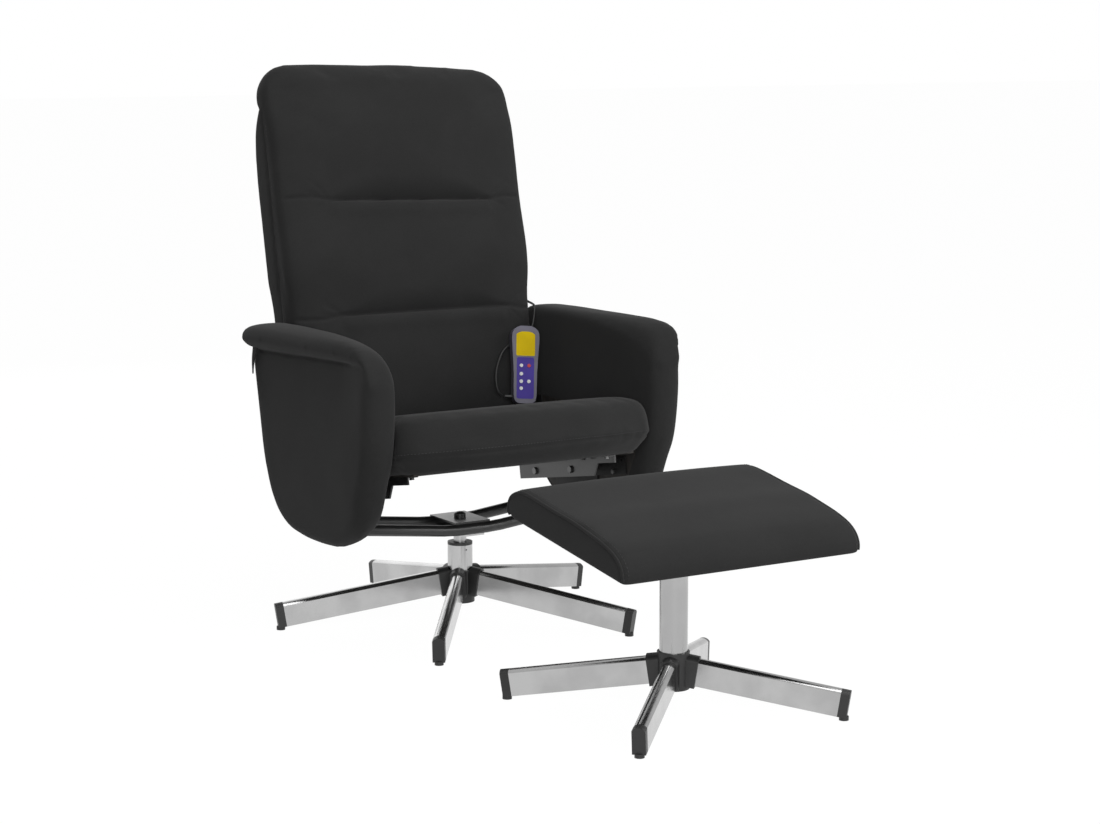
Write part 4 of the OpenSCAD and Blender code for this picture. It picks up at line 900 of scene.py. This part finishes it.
def make_piping(cushion):
    """Piping sewn along both side edges of the stool cushion."""
    surface = BVHTree.FromObject(cushion, bpy.context.evaluated_depsgraph_get())
    outline = [(y, z) for y, z, _ in stool_outline() if z > 3]
    for side in (-1, 1):
        path = []
        for y, z in outline:
            place, outward, _, _ = surface.find_nearest(STOOL @ Vector((side * (STOOL_HALF + 6), y, z)))
            path.append(place + outward * PIPING_RADIUS * 0.3 * MM)
        for _ in range(PIPING_EASE):
            path[1:-1] = [(a + 2 * b + c) / 4 for a, b, c in zip(path, path[1:], path[2:])]
        piping = tube(side_name("stool_piping", side), path, PIPING_RADIUS * MM, 10)
        finish_piece(piping, "upholstery", "stool")


# Stitches along the seams

STITCH_SPACING, STITCH_LENGTH, THREAD_RADIUS, STITCH_SEED = 6.2, 4.2, 0.55, 7


def make_stitch_tree():
    """Geometry Nodes tree that lays short stitches along a path of edges, and its inputs by name."""
    tree = bpy.data.node_groups.new("stitches", "GeometryNodeTree")
    inputs = {}
    for name, kind, value in (
            ("Path", "Geometry", None), ("Spacing", "Float", STITCH_SPACING * MM),
            ("Stitch Length", "Float", STITCH_LENGTH * MM), ("Thread Radius", "Float", THREAD_RADIUS * MM),
            ("Unevenness", "Float", 0.12), ("Seed", "Int", STITCH_SEED), ("Thread", "Material", None)):
        socket = tree.interface.new_socket(name=name, in_out="INPUT", socket_type="NodeSocket" + kind)
        if value is not None:
            socket.default_value = value
        inputs[name] = (socket.identifier, value)
    tree.interface.new_socket(name="Stitches", in_out="OUTPUT", socket_type="NodeSocketGeometry")
    given = tree.nodes.new("NodeGroupInput").outputs

    def node(kind, fields, **settings):
        made = tree.nodes.new(kind)
        for key, value in settings.items():
            setattr(made, key, value)
        for key, value in fields.items():
            if isinstance(value, bpy.types.NodeSocket):
                tree.links.new(value, made.inputs[key])
            else:
                made.inputs[key].default_value = value
        return made.outputs

    curve = node("GeometryNodeMeshToCurve", {"Mesh": given["Path"]})["Curve"]
    places = node("GeometryNodeResampleCurve", {"Curve": curve, "Length": given["Spacing"]},
                  mode="LENGTH")["Curve"]
    ball = node("GeometryNodeMeshUVSphere", {"Segments": 6, "Rings": 6, "Radius": 1.0})["Mesh"]
    half = node("ShaderNodeMath", {0: given["Stitch Length"], 1: 0.5}, operation="MULTIPLY")["Value"]
    radius = given["Thread Radius"]
    size = node("ShaderNodeCombineXYZ", {"X": radius, "Y": radius, "Z": half})["Vector"]
    stitch = node("GeometryNodeTransform", {"Geometry": ball, "Scale": size})["Geometry"]
    tangent = node("GeometryNodeInputTangent", {})["Tangent"]
    turn = node("FunctionNodeAlignRotationToVector", {"Vector": tangent}, axis="Z")["Rotation"]
    least = node("ShaderNodeMath", {0: 1.0, 1: given["Unevenness"]}, operation="SUBTRACT")["Value"]
    scale = node("FunctionNodeRandomValue", {2: least, 3: 1.0, "Seed": given["Seed"]},
                 data_type="FLOAT").get("Value")
    laid = node("GeometryNodeInstanceOnPoints", {"Points": places, "Instance": stitch, "Rotation": turn,
                                                 "Scale": scale})["Instances"]
    real = node("GeometryNodeRealizeInstances", {"Geometry": laid})["Geometry"]
    done = node("GeometryNodeSetMaterial", {"Geometry": real, "Material": given["Thread"]})["Geometry"]
    tree.links.new(done, tree.nodes.new("NodeGroupOutput").inputs["Stitches"])
    return tree, inputs


def snap(piece, path):
    """Moves the points of a path onto a piece's surface."""
    surface = BVHTree.FromObject(piece, bpy.context.evaluated_depsgraph_get())
    found = [surface.find_nearest(p) for p in path]
    return [place + normal * 0.3 * MM for place, normal, _, _ in found]


def make_stitches(name, body, paths, tree, inputs):
    """Stitches along some paths as one mesh that rides on a body."""
    points, edges = [], []
    for path in paths:
        edges += [(len(points) + i, len(points) + i + 1) for i in range(len(path) - 1)]
        points += path
    mesh = bpy.data.meshes.new(name)
    mesh.from_pydata([tuple(p) for p in points], edges, [])
    stitches = bpy.data.objects.new(name, mesh)
    bpy.context.scene.collection.objects.link(stitches)
    modifier = stitches.modifiers.new("stitches", "NODES")
    modifier.node_group = tree
    for identifier, value in inputs.values():
        if value is not None:
            modifier[identifier] = value
    modifier[inputs["Thread"][0]] = FINISHES["thread"]
    bake_modifiers(stitches)
    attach(stitches, body)


def stitch_seams(seat, back, stool):
    tree, inputs = make_stitch_tree()
    ring = seat_ring(0.5, 0.5, SEAM_Z + 5)
    turn_at = next(i for i, p in enumerate(ring) if i and p[0] < 0)
    round_front = [SEAT @ Vector(p) for p in ring[turn_at:] + ring[:turn_at] if p[1] < SEAT_REAR - 40]
    make_stitches("seat_stitches", "seat", [snap(seat, round_front)], tree, inputs)
    sides = [[BACK @ Vector((side * (back_half_at(v) + 3), REAR_FRONT - 7, v))
              for v in np.linspace(60, 630, 80)] for side in (-1, 1)]
    make_stitches("back_stitches", "back", [snap(back, path) for path in sides], tree, inputs)
    edges = [[STOOL @ Vector((side * (STOOL_HALF - 9), y, z))
              for y, z, _ in stool_outline(1.02) if z > 8] for side in (-1, 1)]
    make_stitches("stool_stitches", "stool", [snap(stool, path) for path in edges], tree, inputs)


def make_upholstery():
    made = [make_seat(), make_back(), make_rear_cover(), make_arm(-1), make_arm(1), make_stool()]
    seat, back, rear, arm_left, arm_right, stool = [piece for piece, _ in made]
    # Pressure under each cover, and the furthest that it may rise
    blown = ((3.0, 4), (3.0, 7), (1.5, 4), (2.0, 3.5), (2.0, 3.5), (2.0, 3.5))
    puff([(piece, held, pressure, cap) for (piece, held), (pressure, cap) in zip(made, blown)])
    for piece, _ in made:
        refine(piece)
    carve(seat, SEAT, seat_groove)
    carve(back, BACK, fold_depth)
    carve(arm_left, CHAIR, arm_crease)
    carve(arm_right, CHAIR, arm_crease)
    for piece, body, nodes, fill in (
            (seat, "seat", ["seat_cushion"], 0.85),
            (back, "back", ["lumbar_pad", "middle_pad", "head_pad"], 0.8),
            (rear, "back", ["back_shell"], 0.6),
            (arm_left, "carriage", ["arm_pad_left"], 0.9),
            (arm_right, "carriage", ["arm_pad_right"], 0.9),
            (stool, "stool", ["stool_cushion"], 0.9)):
        finish_piece(piece, "upholstery", body, *nodes)
    make_flap(-1)
    make_flap(1)
    make_piping(stool)
    stitch_seams(seat, back, stool)


make_upholstery()


# Floor, light and background

def light_path_mask(finish):
    """1 where a camera, mirror or glass ray sees the surface."""
    path = finish.tree.nodes.new("ShaderNodeLightPath")
    seen, mirrored, through = [Value(finish, path.outputs[f"Is {kind} Ray"])
                               for kind in ("Camera", "Glossy", "Transmission")]
    return (seen + mirrored + through).above(0.0, 1.0)


WORLD_LIGHT, WORLD_MIRRORED = 0.10, 0.7
FLOOR_HALF, FLOOR_TONE, FLOOR_GLOW, FLOOR_GLOW_SHARE = 30.0, 0.45, 1.07, 0.92
# Each lamp: (name, place, height that it points at, power, width)
LAMPS = [("front", (-1.7, -3.6, 1.6), 0.4, 98, 2.5), ("right", (2.8, -2.4, 1.6), 0.4, 62, 2.2),
         ("top", (0, -0.6, 4.2), 0.4, 55, 2.5), ("behind", (0.6, 3.6, 1.6), 0.5, 15, 2.5)]


def make_floor():
    points = [(x * FLOOR_HALF, y * FLOOR_HALF, 0) for x, y in ((-1, -1), (1, -1), (1, 1), (-1, 1))]
    floor = make_piece("floor", points, [(0, 1, 2, 3)], smooth=False)
    f = Finish("studio_floor", Roughness=0.95, Specular_IOR_Level=0.0)
    f.shader.inputs["Base Color"].default_value = grey(FLOOR_TONE)
    glow = f.tree.nodes.new("ShaderNodeEmission")
    glow.inputs["Color"].default_value, glow.inputs["Strength"].default_value = grey(1.0), FLOOR_GLOW
    blend = f.tree.nodes.new("ShaderNodeMixShader")
    f.tree.links.new((light_path_mask(f) * FLOOR_GLOW_SHARE).socket, blend.inputs[0])
    f.tree.links.new(f.shader.outputs[0], blend.inputs[1])
    f.tree.links.new(glow.outputs[0], blend.inputs[2])
    f.tree.links.new(blend.outputs[0], f.tree.nodes["Material Output"].inputs["Surface"])
    floor.data.materials.append(f.material)


def make_world():
    """White behind the object for the camera, bright for mirrored rays and dim as a light."""
    world = bpy.data.worlds.new("studio")
    world.use_nodes = True
    tree = world.node_tree
    path = tree.nodes.new("ShaderNodeLightPath")
    shown = tree.nodes["Background"]
    shown.inputs["Strength"].default_value = WORLD_LIGHT
    for ray, strength in (("Is Glossy Ray", WORLD_MIRRORED), ("Is Camera Ray", 1.0)):
        bright, blend = tree.nodes.new("ShaderNodeBackground"), tree.nodes.new("ShaderNodeMixShader")
        bright.inputs["Strength"].default_value = strength
        tree.links.new(path.outputs[ray], blend.inputs[0])
        tree.links.new(shown.outputs[0], blend.inputs[1])
        tree.links.new(bright.outputs[0], blend.inputs[2])
        shown = blend
    for node in tree.nodes:
        if node.type == "BACKGROUND":
            node.inputs["Color"].default_value = grey(1.0)
    tree.links.new(shown.outputs[0], tree.nodes["World Output"].inputs["Surface"])
    bpy.context.scene.world = world


def add_lamp(name, place, target_z, power, size):
    data = bpy.data.lights.new(name, "AREA")
    data.energy, data.size = power, size
    lamp = bpy.data.objects.new(name, data)
    lamp.location = place
    lamp.rotation_euler = (Vector((0, 0, target_z)) - Vector(place)).to_track_quat("-Z", "Y").to_euler()
    bpy.context.scene.collection.objects.link(lamp)


make_floor()
make_world()
for lamp in LAMPS:
    add_lamp(*lamp)
bpy.context.scene.view_settings.view_transform = "Standard"
